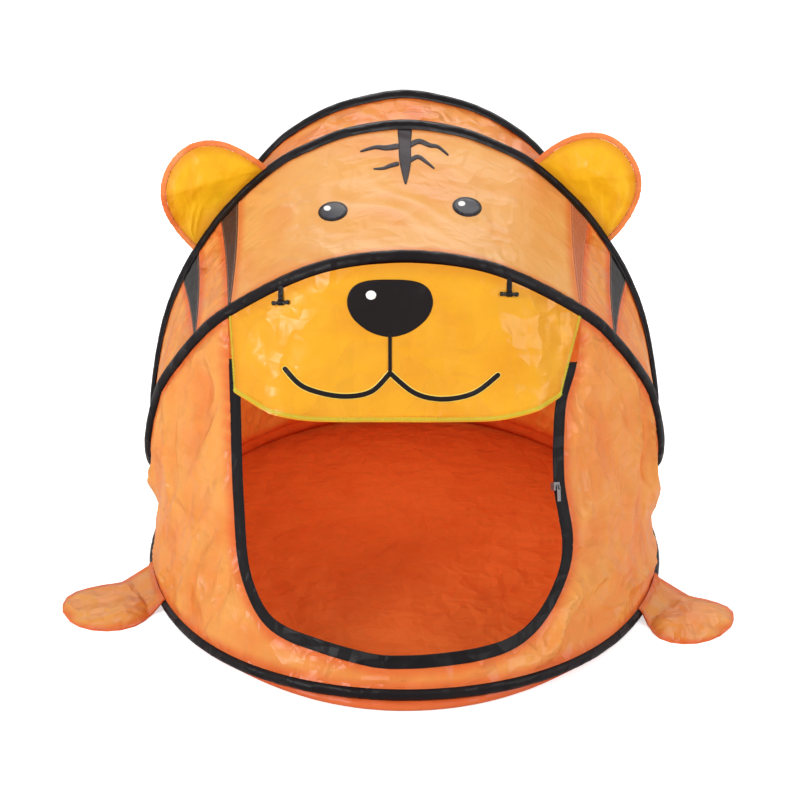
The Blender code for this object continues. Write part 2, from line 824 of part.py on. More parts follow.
def along_arch(arch, x, values):
    """A row of an arch's values read at a place along X."""
    return np.array([np.interp(x, arch.points[:, 0], values[:, k]) for k in range(3)])


def build_toggle(side, x, wall, visor, cloth, plastic):
    """A ribbon sewn under the visor and the bar through its end. Both are made hanging down from the hinge."""
    edge = visor.edge(1)
    start = float(np.interp(x, edge[:, 0], edge[:, 2]))
    angle = math.radians(RIBBON_SEAM_ANGLE)
    reach = SEAM_GAP + RIBBON_THICKNESS / 2
    seam = along_arch(visor, x, visor.points)
    seam = seam + along_arch(visor, x, visor.outers) * (SLEEVE_HALF_WIDTH + reach) * math.cos(angle)
    seam = seam + along_arch(visor, x, visor.normals) * (SLEEVE_HALF_DEPTH + reach) * math.sin(angle)
    low = start - RIBBON_LENGTH
    width = muzzle_place(wall, x + RIBBON_WIDTH, low, start) - muzzle_place(wall, x - RIBBON_WIDTH, low, start)
    lower = muzzle_place(wall, x, low, start)
    fall = unit(lower - muzzle_place(wall, x, start, start))
    rest = lower + np.cross(fall, across(width, fall)) * RIBBON_STANDOFF
    down = unit(rest - seam)
    beside = across(width, down)
    out = np.cross(down, beside)
    ends = [along_arch(visor, x + sign * RIBBON_WIDTH / 2, visor.points)[2] for sign in (-1, 1)]
    hinge = seam + down * abs(ends[1] - ends[0]) / 2
    half = RIBBON_WIDTH / 2
    ribbon_end = RIBBON_LENGTH - BAR_KNOB_RADIUS - SEAM_GAP
    ribbon = new_object(
        f"toggle_ribbon_{side}",
        box_mesh((-half, -RIBBON_THICKNESS / 2, 0), (half, RIBBON_THICKNESS / 2, ribbon_end)),
        cloth,
    )
    carry(ribbon, hinge, (beside, out, down))
    stations = (
        (-0.5, BAR_RADIUS),
        (-0.42, BAR_KNOB_RADIUS),
        (-0.32, BAR_RADIUS),
        (-0.14, BAR_RADIUS),
        (-0.06, BAR_KNOB_RADIUS),
        (0.06, BAR_KNOB_RADIUS),
        (0.14, BAR_RADIUS),
        (0.32, BAR_RADIUS),
        (0.42, BAR_KNOB_RADIUS),
        (0.5, BAR_RADIUS),
    )
    vertices = []
    for place_share, radius in stations:
        for k in range(BAR_SIDES):
            angle = 2 * math.pi * k / BAR_SIDES
            vertices.append((place_share * BAR_LENGTH, radius * math.cos(angle), radius * math.sin(angle)))
    faces = []
    for i in range(len(stations) - 1):
        for k in range(BAR_SIDES):
            after = (k + 1) % BAR_SIDES
            a, b = i * BAR_SIDES, (i + 1) * BAR_SIDES
            faces.append((a + k, a + after, b + after, b + k))
    faces.append(tuple(range(BAR_SIDES)))
    last = (len(stations) - 1) * BAR_SIDES
    faces.append(tuple(range(last, last + BAR_SIDES))[::-1])
    bar = new_object(f"toggle_bar_{side}", mesh_from(vertices, faces), plastic)
    carry(bar, hinge + down * RIBBON_LENGTH, (beside, out, down))
    hinge_empty(f"toggle_hinge_{side}", hinge, [ribbon, bar])
    return hinge


# Rolled door cloth

def build_roll(visor, first, last, cloth, strap_cloth):
    """The door cloth rolled up along the visor, behind the muzzle, in two straps."""
    stations = range(first + 1, last)
    centres, wides, deeps = [], [], []
    for k in stations:
        tangent = visor.tangents[k]
        inwards = across(np.array([0, CORE_Y, 0]) - np.array([0, visor.points[k][1], 0]), tangent)
        down = across(-Z_AXIS, tangent)
        inwards = across(inwards - down * np.dot(inwards, down), tangent)
        centres.append(visor.points[k] + inwards * ROLL_INSET + down * ROLL_DROP)
        wides.append(inwards)
        deeps.append(down)
    section = []
    for k in range(ROLL_POINTS):
        angle = 2 * math.pi * k / ROLL_POINTS
        radius = ROLL_RADIUS - ROLL_LIP * k / ROLL_POINTS / 2
        section.append((radius * math.cos(angle), radius * math.sin(angle)))
    roll = new_object("rolled_door", sweep(centres, wides, deeps, section, False), cloth)
    inner = ROLL_RADIUS + STRAP_CLEARANCE
    outer = inner + STRAP_THICKNESS
    count = ROLL_POINTS
    for side, index in (("left", STRAP_STATION), ("right", len(centres) - 1 - STRAP_STATION)):
        ring = []
        for radius, back in ((outer, False), (inner, True)):
            order = range(count) if not back else range(count - 1, -1, -1)
            ring += [
                (radius * math.cos(2 * math.pi * (k + 0.5) / count), radius * math.sin(2 * math.pi * (k + 0.5) / count))
                for k in order
            ]
        along = unit(centres[index + 1] - centres[index - 1])
        half = along * STRAP_WIDTH / 2
        strap = sweep(
            [centres[index] - half, centres[index] + half], [wides[index]] * 2, [deeps[index]] * 2, ring, False
        )
        new_object(f"roll_strap_{side}", strap, strap_cloth)
    return roll


# Zip slider and its puller

def build_slider(wall, steel):
    """The slider straddles the zip's inner edge, and the puller hangs from the lug on its front."""
    x = door_edge_x(SLIDER_HEIGHT)
    lower = np.array([x, wall.depth(x, SLIDER_HEIGHT), SLIDER_HEIGHT])
    top_z = SLIDER_HEIGHT + SLIDER_TRAVEL
    top_x = door_edge_x(top_z)
    upper = np.array([top_x, wall.depth(top_x, top_z), top_z])
    up = unit(upper - lower)
    out = across(wall.normal(x, SLIDER_HEIGHT), up)
    beside = np.cross(up, out)
    inner = TAPE_THICKNESS / 2 + SLIDER_CLEARANCE
    outer = inner + SLIDER_PLATE
    reach = SLIDER_WIDTH - SLIDER_POST
    half = SLIDER_LENGTH / 2
    outline = [
        (-SLIDER_POST - SLIDER_EDGE_CLEARANCE, -outer),
        (reach, -outer),
        (reach, -inner),
        (-SLIDER_EDGE_CLEARANCE, -inner),
        (-SLIDER_EDGE_CLEARANCE, inner),
        (reach, inner),
        (reach, outer),
        (-SLIDER_POST - SLIDER_EDGE_CLEARANCE, outer),
    ]
    points = [lower - up * half, lower + up * half]
    slider = new_object("zip_slider", sweep(points, [beside] * 2, [out] * 2, outline, False), steel)
    bridge_x = reach / 2
    sunk = outer - SLIDER_PLATE / 2
    length = BRIDGE_HOLE_LENGTH / 2 + BRIDGE_WALL
    height = outer + BRIDGE_HOLE_HEIGHT + BRIDGE_WALL
    block = box_mesh(
        (bridge_x - BRIDGE_WIDTH / 2, -length, sunk),
        (bridge_x + BRIDGE_WIDTH / 2, length, height),
    )
    hole = box_mesh(
        (bridge_x - BRIDGE_WIDTH, -BRIDGE_HOLE_LENGTH / 2, outer),
        (bridge_x + BRIDGE_WIDTH, BRIDGE_HOLE_LENGTH / 2, outer + BRIDGE_HOLE_HEIGHT),
    )
    for name, mesh, operation in (("slider_bridge", block, "UNION"), ("bridge_hole", hole, "DIFFERENCE")):
        tool = bpy.data.objects.new(name, mesh)
        bpy.context.scene.collection.objects.link(tool)
        carry(tool, lower, (beside, up, out))
        tool.hide_render = True
        tool.display_type = "WIRE"
        boolean(slider, tool, operation)
    axis_place = lower + beside * bridge_x + out * (outer + BRIDGE_HOLE_HEIGHT / 2)
    return slider, lower, axis_place, (beside, up, out)


def build_puller(place, axes, steel):
    """A flat tab whose top bar passes through the slider's bridge. It is made about that bar's middle."""
    half = PULLER_WIDTH / 2
    bar = PULLER_THICKNESS / 2
    eye = half - PULLER_RAIL
    outer_ring = [(-half, bar), (half, bar), (half, bar - PULLER_LENGTH), (-half, bar - PULLER_LENGTH)]
    window = [(-eye, -bar), (eye, -bar), (eye, -bar - PULLER_WINDOW), (-eye, -bar - PULLER_WINDOW)]
    vertices = []
    for depth in (-bar, bar):
        vertices += [(x, y, depth) for x, y in outer_ring + window]
    faces = []
    for k in range(4):
        after = (k + 1) % 4
        faces.append((k, after, 4 + after, 4 + k))
        faces.append((8 + k, 12 + k, 12 + after, 8 + after))
        faces.append((k, 8 + k, 8 + after, after))
        faces.append((4 + k, 4 + after, 12 + after, 12 + k))
    puller = new_object("zip_puller", mesh_from(vertices, faces), steel)
    carry(puller, place, axes)
    return puller


# Ears

def ear_outline(share, inset):
    """A place on an ear's edge, along its base and up from it, with a share from 0 at one foot to 1 at the other."""
    angle = math.pi * (1 - share)
    c, s = math.cos(angle), math.sin(angle)
    half = EAR_HALF_WIDTH - inset
    height = EAR_HEIGHT - inset
    along = half * math.copysign(abs(c) ** (2 / EAR_POWER), c)
    up = height * max(s, 0) ** (2 / EAR_POWER)
    return along + EAR_LEAN_SHARE * up, up


def ear_bulge(along, up):
    """How far an ear stands forward of flat: it is creased across its middle."""
    crease = abs(up - EAR_HEIGHT / 2 - along * EAR_LEAN_SHARE) / EAR_HEIGHT
    foot = min(up / (EAR_HEIGHT / 2), 1)
    return EAR_FOLD * max(0, 1 - 2 * crease) * foot


def build_ear(side, ridge_dense, seat_share, yellow, orange):
    """A two-layer ear and the binding round its edge, standing square on the ridge sleeve."""
    share = (1 + seat_share) / 2
    sign = math.copysign(1, seat_share)
    step = EAR_HALF_WIDTH / (2 * ARCH_HALF_WIDTH)
    place = at_arc_shares(ridge_dense, [share])[0]
    ends = at_arc_shares(ridge_dense, [share - step / 2, share + step / 2])
    tangent = unit(ends[1] - ends[0]) * sign
    core = np.array([0, CORE_Y, CORE_Z])
    out = across(place - core, tangent)
    forward = np.cross(tangent, out)
    if forward[1] > 0:
        forward = -forward
    foot = place + out * (SLEEVE_HALF_DEPTH + EAR_CLEARANCE)
    nearby = ridge_dense[np.linalg.norm(ridge_dense - place, axis=1) < EAR_HALF_WIDTH * 2] - place
    nearby = nearby[np.argsort(nearby @ tangent)]

    def place_of(along, up):
        """A place on the ear, whose base follows the sleeve."""
        settle = 1 - min(up / EAR_HEIGHT, 1)
        drop = np.interp(along, nearby @ tangent, nearby @ out) * settle
        step = np.interp(along, nearby @ tangent, nearby @ forward) * settle
        return foot + tangent * along + out * (up + drop) + forward * (ear_bulge(along, up) + step)

    def build(name, low_of, high_of, thickness, rows, material):
        grid = []
        for i in range(rows + 1):
            t = i / rows
            row = []
            for j in range(EAR_STEPS + 1):
                low, high = low_of(j / EAR_STEPS), high_of(j / EAR_STEPS)
                row.append(place_of(low[0] * (1 - t) + high[0] * t, low[1] * (1 - t) + high[1] * t))
            grid.append(row)
        return new_object(name, skin(np.array(grid), thickness), material)

    def base_line(share_along):
        along = (2 * share_along - 1) * (EAR_HALF_WIDTH - EAR_BINDING_WIDTH - EAR_SEAM_GAP)
        return along, 0.0

    panel = build(
        f"ear_{side}",
        base_line,
        lambda s: ear_outline(s, EAR_BINDING_WIDTH + EAR_SEAM_GAP),
        EAR_THICKNESS,
        EAR_ROWS,
        yellow,
    )
    binding = build(
        f"ear_binding_{side}",
        lambda s: ear_outline(s, EAR_BINDING_WIDTH),
        lambda s: ear_outline(s, 0),
        EAR_BINDING_THICKNESS,
        1,
        orange,
    )
    hinge_empty(f"ear_hinge_{side}", foot, [panel, binding])
    return foot, tangent


# Paws

def build_paw(side, sign, seam_of, orange):
    """A cuff sewn above the base ring's sleeve, and the paw that lies on the ground beyond it."""
    rear_y, front_y, turn = seam_of
    rear_angle, front_angle = ring_angle_at(rear_y), ring_angle_at(front_y)
    angles = [rear_angle + (front_angle - rear_angle) * k / PAW_SEAM_STEPS for k in range(PAW_SEAM_STEPS + 1)]
    mirror = np.array([float(sign), 1.0, 1.0])
    root = np.array([ring_point(angle) for angle in angles]) * mirror
    ends = unit((root[-1] - root[0]) * np.array([1.0, 1.0, 0.0]))
    out = np.cross(ends, Z_AXIS) * -sign
    flat_out = np.array([sign * math.cos(math.radians(turn)), -math.sin(math.radians(turn)), 0.0])
    beside = np.cross(flat_out, Z_AXIS) * sign
    ground = PAW_GROUND_GAP + PAW_THICKNESS / 2
    centre = root.mean(axis=0)
    reach = max((p - centre) @ flat_out for p in root) + SLEEVE_HALF_DEPTH
    foot = centre + flat_out * (reach + PAW_LINE_OUT)
    foot[2] = ground
    near, far = -PAW_OUTLINE_SHARES[0][1] * PAW_HALF_WIDTH, PAW_OUTLINE_SHARES[0][2] * PAW_HALF_WIDTH
    line = np.array([foot + beside * (near + (far - near) * k / PAW_SEAM_STEPS) for k in range(PAW_SEAM_STEPS + 1)])
    cuff = []
    for angle in PAW_CUFF_ANGLES:
        over = PAW_SEAT_GAP + PAW_THICKNESS / 2
        up_by = (SLEEVE_HALF_WIDTH + over) * math.sin(math.radians(angle))
        out_by = (SLEEVE_HALF_DEPTH + over) * math.cos(math.radians(angle))
        cuff.append(root + Z_AXIS * up_by + out * out_by)
    inner_line = line - flat_out * PAW_FOLD_GAP
    cuff = np.array(cuff + [(cuff[-1] + inner_line) / 2, inner_line])
    new_object(f"paw_cuff_{side}", skin(cuff, PAW_THICKNESS), orange)
    length = PAW_REACH - abs(foot[0])
    for _ in range(PAW_TRIES):
        grid = []
        for along, rear, front in PAW_OUTLINE_SHARES:
            start = foot + flat_out * along * length - beside * rear * PAW_HALF_WIDTH
            end = foot + flat_out * along * length + beside * front * PAW_HALF_WIDTH
            grid.append([start + (end - start) * k / PAW_STEPS for k in range(PAW_STEPS + 1)])
        grid = np.array(grid)
        length += (PAW_REACH - np.abs(grid[..., 0]).max()) / abs(flat_out[0])
    paw = new_object(f"paw_{side}", skin(grid, PAW_THICKNESS), orange)
    hinge_empty(f"paw_hinge_{side}", foot + Z_AXIS * PAW_THICKNESS / 2, [paw])


# The whole tent

def clear_scene():
    for obj in list(bpy.data.objects):
        bpy.data.objects.remove(obj, do_unlink=True)


def build_floor(ring_points, ring_outs, cloth):
    """The floor sheet: flat on the ground, turned up at its edge to the underside of the ring's sleeve."""
    count = len(ring_points)
    bottom_edge = ring_points[:, 2] - SLEEVE_HALF_WIDTH - BUTT_GAP
    flat = ring_outs * np.array([1.0, 1.0, 0.0])
    flat = flat / np.linalg.norm(flat, axis=1, keepdims=True)
    ground = CLOTH / 2
    rise = np.maximum(bottom_edge, ground)
    lift = (ring_points[:, 2] - RING_SIDE_HEIGHT) / (RING_END_HEIGHT - RING_SIDE_HEIGHT)
    outs, heights = [np.full(count, -RING_HALF_WIDTH / 2)], [np.full(count, ground)]
    for inset_share, height_share, bulge_share in FLOOR_EDGE_SHARES:
        hung = lift * FLOOR_BULGE * bulge_share
        laid = (1 - lift) * FLOOR_TURN * inset_share
        outs.append(hung - laid)
        heights.append(ground + (rise - ground) * height_share)
    rings, normals = [], []
    for out_by, height, turn, climb in zip(outs, heights, np.gradient(outs, axis=0), np.gradient(heights, axis=0)):
        place = ring_points + flat * out_by[:, None]
        place[:, 2] = height
        rings.append(place)
        normal = Z_AXIS * turn[:, None] - flat * climb[:, None]
        normals.append(normal / np.linalg.norm(normal, axis=1, keepdims=True))
    centre = Z_AXIS * ground
    vertices = [centre + Z_AXIS * CLOTH / 2, centre - Z_AXIS * CLOTH / 2]
    upper, lower = [], []
    for place, normal in zip(rings, normals):
        upper.append(len(vertices))
        vertices += list(place + normal * CLOTH / 2)
        lower.append(len(vertices))
        below = place - normal * CLOTH / 2
        below[:, 2] = np.maximum(below[:, 2], 0)
        vertices += list(below)
    faces = []
    for k in range(count):
        after = (k + 1) % count
        faces.append((0, upper[0] + k, upper[0] + after))
        faces.append((1, lower[0] + after, lower[0] + k))
        for a, b in zip(upper, upper[1:]):
            faces.append((a + k, b + k, b + after, a + after))
        for a, b in zip(lower, lower[1:]):
            faces.append((a + k, a + after, b + after, b + k))
        faces.append((upper[-1] + k, lower[-1] + k, lower[-1] + after, upper[-1] + after))
    return new_object("floor_sheet", mesh_from(vertices, faces), cloth)


def main():
    clear_scene()
    orange = finish("wall_taffeta", WALL_ORANGE, 0.45)
    face = finish("face_taffeta", FACE_ORANGE, 0.45)
    floor_cloth = finish("floor_taffeta", FLOOR_ORANGE, 0.5)
    yellow = finish("muzzle_taffeta", MUZZLE_YELLOW, 0.4)
    ear_yellow = finish("ear_taffeta", EAR_YELLOW, 0.4)
    lime = finish("hem_thread", HEM_LIME, 0.6)
    black = finish("sleeve_taffeta", SLEEVE_BLACK, 0.5)
    mesh_black = finish("vent_mesh", MESH_BLACK, 0.7)
    plastic = finish("toggle_plastic", SLEEVE_BLACK, 0.4)
    steel = finish("spring_steel", STEEL, 0.35, 1.0)

    # Front loop
    front_curl = np.array([ARCH_HALF_WIDTH * CURL_WIDTH_SHARE, FRONT_CURL_Y, FRONT_CURL_HEIGHT])
    visor_half = arch_points(VISOR_SHARES, ARCH_HALF_WIDTH, FRONT_CURL_Y, FRONT_CURL_HEIGHT, VISOR_Y, VISOR_HEIGHT)
    ridge_half = arch_points(RIDGE_SHARES, ARCH_HALF_WIDTH, FRONT_CURL_Y, FRONT_CURL_HEIGHT, RIDGE_Y, RIDGE_HEIGHT)
    visor_dense, ridge_dense = loop_arches(visor_half, ridge_half, front_curl)
    visor, ridge = make_loop(
        at_arc_shares(visor_dense, full_shares(VISOR_SEAM_SHARES)),
        at_arc_shares(ridge_dense, full_shares(RIDGE_SEAM_SHARES)),
    )

    # Rear loop
    rear_curl = np.array([REAR_HALF_WIDTH * CURL_WIDTH_SHARE, REAR_CURL_Y, REAR_CURL_HEIGHT])
    crest_half = arch_points(CREST_SHARES, REAR_HALF_WIDTH, REAR_CURL_Y, REAR_CURL_HEIGHT, CREST_Y, CREST_HEIGHT)
    rump_half = arch_points(VISOR_SHARES, REAR_HALF_WIDTH, REAR_CURL_Y, REAR_CURL_HEIGHT, RUMP_Y, RUMP_HEIGHT)
    rump_dense, crest_dense = loop_arches(rump_half, crest_half, rear_curl)
    rump, crest = make_loop(
        at_arc_shares(rump_dense, full_shares(EVEN_SEAM_SHARES)),
        at_arc_shares(crest_dense, full_shares(RIDGE_SEAM_SHARES)),
    )

    # Base ring, in four stretches that start and end below the curls
    front_angle, rear_angle = ring_angle_at(FRONT_CURL_Y), ring_angle_at(REAR_CURL_Y)
    stretches = (
        (-math.pi - front_angle, front_angle, full_shares(VISOR_SEAM_SHARES)),
        (front_angle, rear_angle, np.linspace(0, 1, RING_SIDE_STEPS + 1)),
        (rear_angle, math.pi - rear_angle, full_shares(EVEN_SEAM_SHARES)),
        (math.pi - rear_angle, math.pi - front_angle, np.linspace(0, 1, RING_SIDE_STEPS + 1)),
    )
    pieces = [at_arc_shares(ring_between(start, end), shares) for start, end, shares in stretches]
    ring_points = np.concatenate([piece[:-1] for piece in pieces])
    following, leading = np.roll(ring_points, -1, axis=0), np.roll(ring_points, 1, axis=0)
    tangents = np.array([unit(unit(b - p) + unit(p - a)) for a, p, b in zip(leading, ring_points, following)])
    ring_outs = np.array([unit(np.cross(t, Z_AXIS)) for t in tangents])
    ring_ups = np.cross(ring_outs, tangents)
    starts = np.cumsum([0] + [len(piece) - 1 for piece in pieces])
    reach = SLEEVE_HALF_WIDTH + BUTT_GAP
    ring_top = np.concatenate([ring_points + ring_ups * reach] * 2)
    front_foot = ring_top[starts[0] : starts[1] + 1]
    right_foot = ring_top[starts[1] : starts[2] + 1]
    rear_foot = ring_top[starts[2] : starts[3] + 1]
    left_foot = ring_top[starts[3] : starts[4] + 1]

    def closed_loop(first, second):
        points = np.concatenate([first.points, second.points[-2:0:-1]])
        normals = np.concatenate([first.normals, second.normals[-2:0:-1]])
        outers = np.concatenate([first.outers, second.outers[-2:0:-1]])
        return points, outers, normals

    hoop("base_ring", ring_points, ring_ups, ring_outs, black, steel, starts[2] + 4)
    hoop("front_loop", *closed_loop(visor, ridge), black, steel, 3)
    hoop("rear_loop", *closed_loop(rump, crest), black, steel, 3)
    build_floor(ring_points, ring_outs, floor_cloth)

    # Canopy between the visor and the ridge: face panel, mesh vents and side panels
    core = np.array([0, CORE_Y, CORE_Z])
    canopy = loft(visor.edge(-1), ridge.edge(-1), CANOPY_ROWS, CANOPY_SAG, core)
    total = canopy.shape[1] - 1
    half = total // 2
    bounds = np.cumsum(SEAM_STEPS)
    names = ("inner_vent", "cheek_panel", "outer_vent", "side_panel")
    cloths = (mesh_black, orange, mesh_black, orange)
    new_object("forehead_panel", skin(trimmed(canopy, half - bounds[0], half + bounds[0], total), CLOTH), face)
    for k, (name, cloth) in enumerate(zip(names, cloths)):
        near, far = bounds[k], bounds[k + 1]
        new_object(f"{name}_left", skin(trimmed(canopy, half - far, half - near, total), CLOTH), cloth)
        new_object(f"{name}_right", skin(trimmed(canopy, half + near, half + far, total), CLOTH), cloth)

    # Body between the ridge and the crest, down to the ring at the sides
    band_front, band_rear = ridge.edge(1), crest.edge(1)
    across_shares = np.linspace(0, 1, RING_SIDE_STEPS + 1)[:, None]
    band = np.array(
        [band_front[k] * (1 - across_shares) + band_rear[k] * across_shares for k in range(total + 1)]
    ).transpose(1, 0, 2)
    roof = trimmed(band, ROOF_STATION, total - ROOF_STATION, total)
    new_object("roof_strip", skin(roof, CLOTH), orange)
    for side, foot, columns in (
        ("left", left_foot[::-1], range(0, ROOF_STATION + 1)),
        ("right", right_foot, range(total, total - ROOF_STATION - 1, -1)),
    ):
        upper = np.array([band[:, k] for k in columns])
        drop = [foot * (1 - k / SKIRT_ROWS) + upper[0] * (k / SKIRT_ROWS) for k in range(SKIRT_ROWS)]
        grid = np.concatenate([drop, upper])
        step = grid[-2] - grid[-1]
        grid[-1] += step / np.linalg.norm(step, axis=1, keepdims=True) * SEAM_GAP / 2
        for at, beside in ((0, 1), (-1, -2)):
            shift = seam_step(grid, at, beside)
            grid[: SKIRT_ROWS + 1, at] += shift[: SKIRT_ROWS + 1]
        new_object(f"side_wall_{side}", skin(grid, CLOTH), orange)

    # Rear canopy and rear wall
    rear_canopy = loft(rump.edge(-1), crest.edge(-1), REAR_ROWS, CANOPY_SAG, core)
    new_object("rear_canopy", skin(rear_canopy, CLOTH), orange)
    rear_wall = loft(rump.edge(1), rear_foot[::-1], REAR_ROWS, WALL_WAIST, core)
    rear_wall[:, 0] += seam_step(rear_wall, 0, 1)
    rear_wall[:, -1] += seam_step(rear_wall, -1, -2)
    new_object("rear_wall", skin(rear_wall, CLOTH), orange)

    # Front wall, zip, muzzle and what hangs there
    wall = Wall(visor.edge(1), front_foot)
    build_front_walls(wall, orange)
    build_zip_tape(wall, black)
    first, last = half - bounds[1], half + bounds[1]
    build_muzzle(wall, visor.edge(1), first, last, yellow, lime)
    build_toggle("left", TOGGLE_LEFT_X, wall, visor, black, plastic)
    build_toggle("right", TOGGLE_RIGHT_X, wall, visor, black, plastic)
    build_roll(visor, first, last, orange, black)
    slider, place, bar_place, axes = build_slider(wall, steel)
    puller = build_puller(bar_place, axes, steel)
    hinge_empty("slider_track", place, [slider])
    hinge_empty("puller_hinge", bar_place, [puller])

    # Ears and paws
    build_ear("left", ridge_dense, EAR_LEFT_SHARE, ear_yellow, orange)
    build_ear("right", ridge_dense, EAR_RIGHT_SHARE, ear_yellow, orange)

    build_paw("left", -1, PAW_LEFT, orange)
    build_paw("right", 1, PAW_RIGHT, orange)


main()
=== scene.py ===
"""Looks of the pop-up play tent with an animal's face: its cloth, prints, seams, zip, ears and paws.

The tent's door faces -Y, +X is the right-hand side seen from the front and +Z is up. Lengths are in metres.
Every sheet of cloth is laid between the same hoops as the solids, and then wrinkled as sewn taffeta is.
"""

import logging
import math
from dataclasses import dataclass, field
from enum import Enum
from typing import Any, Callable, Optional, Sequence

import bmesh
import bpy
import numpy as np
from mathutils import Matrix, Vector
from mathutils.bvhtree import BVHTree
from mathutils.geometry import delaunay_2d_cdt


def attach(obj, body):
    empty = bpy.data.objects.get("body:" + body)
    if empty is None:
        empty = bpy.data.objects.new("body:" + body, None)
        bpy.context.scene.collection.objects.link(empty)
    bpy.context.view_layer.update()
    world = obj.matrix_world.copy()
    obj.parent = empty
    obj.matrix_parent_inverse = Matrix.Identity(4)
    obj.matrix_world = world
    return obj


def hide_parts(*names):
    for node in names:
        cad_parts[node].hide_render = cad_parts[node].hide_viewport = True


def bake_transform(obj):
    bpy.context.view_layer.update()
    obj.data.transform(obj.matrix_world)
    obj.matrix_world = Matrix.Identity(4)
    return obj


LOG = logging.getLogger("play_tent")
Array = np.ndarray
Section = Sequence[tuple[float, float]]

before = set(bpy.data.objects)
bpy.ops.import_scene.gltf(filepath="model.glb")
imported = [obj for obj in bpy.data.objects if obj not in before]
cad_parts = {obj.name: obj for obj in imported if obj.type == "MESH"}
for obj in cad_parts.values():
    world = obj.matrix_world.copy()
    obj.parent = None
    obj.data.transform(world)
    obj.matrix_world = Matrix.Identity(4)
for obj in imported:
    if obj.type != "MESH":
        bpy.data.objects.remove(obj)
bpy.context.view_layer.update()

# How many stations of a hoop stand for one of the solids'
DENSITY = 11
CORE = np.array([0.0, 0.05, 0.30])
DOWN = np.array([0.0, 0.0, -1.0])
LEVEL = np.array([1.0, 1.0, 0.0])
CLOTH = 0.0006
BUTT_GAP = 0.0003
SLEEVE_HALF_WIDTH = 0.0095
SLEEVE_HALF_DEPTH = 0.0075
SLEEVE_CLOTH = 0.0008
RING_FACING_FULLNESS = 1.16
# A cut fills at least and at most these shares of its flat rectangle
LEAST_FILL, MOST_FILL = 0.31, 0.998
# A panel's pull eases off over this many columns at its ends
PULL_EASE = 25
# A strip beside a hoop stops where the panel is narrower than this share of its widest span
LEAST_SPAN = 0.1
THREAD_LIFT = 0.0002
# How strongly a place deeper than its sheet's mean gets painted shade as a valley, for each standard deviation
VALLEY_SHADE_GAIN = 0.4
SEAM_STEPS = (5, 1, 2, 1, 4)
VISOR_SEAMS = (0.0, 0.394, 0.402, 0.514, 0.524, 1.0)
RIDGE_SEAMS = (0.0, 0.375, 0.429, 0.508, 0.577, 1.0)
EVEN_SEAMS = (0.0, 0.390, 0.420, 0.510, 0.550, 1.0)
NO_SEAMS = (False,) * 4


class Side(Enum):
    """A side of the tent as seen from the front."""

    LEFT = -1
    RIGHT = 1

    @property
    def word(self) -> str:
        """The side's name as the solids use it."""
        return self.name.lower()


class Held(Enum):
    """How a sheet of cloth is held in shape."""

    STRETCHED = "stretched"
    HUNG = "hung"
    LAID = "laid"
    FOLDED = "folded"


# Finishes


def linear(code: str) -> tuple[float, float, float, float]:
    """An sRGB colour of six hex digits in linear light, with a full alpha."""
    shares = [int(code[k : k + 2], 16) / 255 for k in (0, 2, 4)]
    return (*(c / 12.92 if c <= 0.04045 else ((c + 0.055) / 1.055) ** 2.4 for c in shares), 1.0)


def fill(node: Any, inputs: dict[Any, Any]) -> Any:
    """Sets a node's inputs, by name or place, to numbers, colours, sockets, or nodes for their first output.

    Args:
        node: the node.
        inputs: what each input gets.

    Returns:
        The node.
    """
    for key, value in inputs.items():
        if isinstance(value, bpy.types.Node):
            value = value.outputs[0]
        if isinstance(value, bpy.types.NodeSocket):
            node.id_data.links.new(value, node.inputs[key])
        else:
            node.inputs[key].default_value = value
    return node


def add_node(tree: Any, kind: str, inputs: Optional[dict[Any, Any]] = None, **settings: Any) -> Any:
    """Adds a node with its own settings and its inputs.

    Args:
        tree: the tree.
        kind: Blender's name for the node.
        inputs: what each input gets.

    Returns:
        The node.
    """
    node = tree.nodes.new(kind)
    for key, value in settings.items():
        setattr(node, key, value)
    return fill(node, inputs or {})


def mix_colours(tree: Any, share: Any, a: Any, b: Any) -> Any:
    """The socket of two colours mixed by the share of the second."""
    return add_node(tree, "ShaderNodeMix", {0: share, 6: a, 7: b}, data_type="RGBA").outputs[2]


def ramp(
    tree: Any, value: Any, low: float, high: float, start: float = 0.0, end: float = 1.0, **settings: Any
) -> Any:
    """Maps a value between low and high to one between start and end."""
    sides = {"From Min": low, "From Max": high, "To Min": start, "To Max": end}
    return add_node(tree, "ShaderNodeMapRange", {"Value": value, **sides}, **settings)


def lumps(tree: Any, place: Any, size: float, detail: float, distortion: float = 0.0, **settings: Any) -> Any:
    """Noise whose lumps stand about a size apart."""
    inputs = {"Vector": place, "Scale": 1 / size, "Detail": detail, "Distortion": distortion}
    return add_node(tree, "ShaderNodeTexNoise", inputs, **settings)


def bump(tree: Any, height: Any, strength: float, distance: float, under: Any = None) -> Any:
    """Raises the surface by a height, on top of the bump under it."""
    inputs = {"Height": height, "Strength": strength, "Distance": distance}
    return add_node(tree, "ShaderNodeBump", inputs if under is None else {**inputs, "Normal": under})


def start_material(name: str) -> tuple[Any, Any, Any, Any]:
    """Makes a material, and gives it with its tree, its main shader and its output.

    Args:
        name: its name.

    Returns:
        The material, its tree, its shader and its output.
    """
    material = bpy.data.materials.new(name)
    material.use_nodes = True
    tree = material.node_tree
    tree.nodes.clear()
    shader = add_node(tree, "ShaderNodeBsdfPrincipled")
    return material, tree, shader, add_node(tree, "ShaderNodeOutputMaterial", {"Surface": shader})


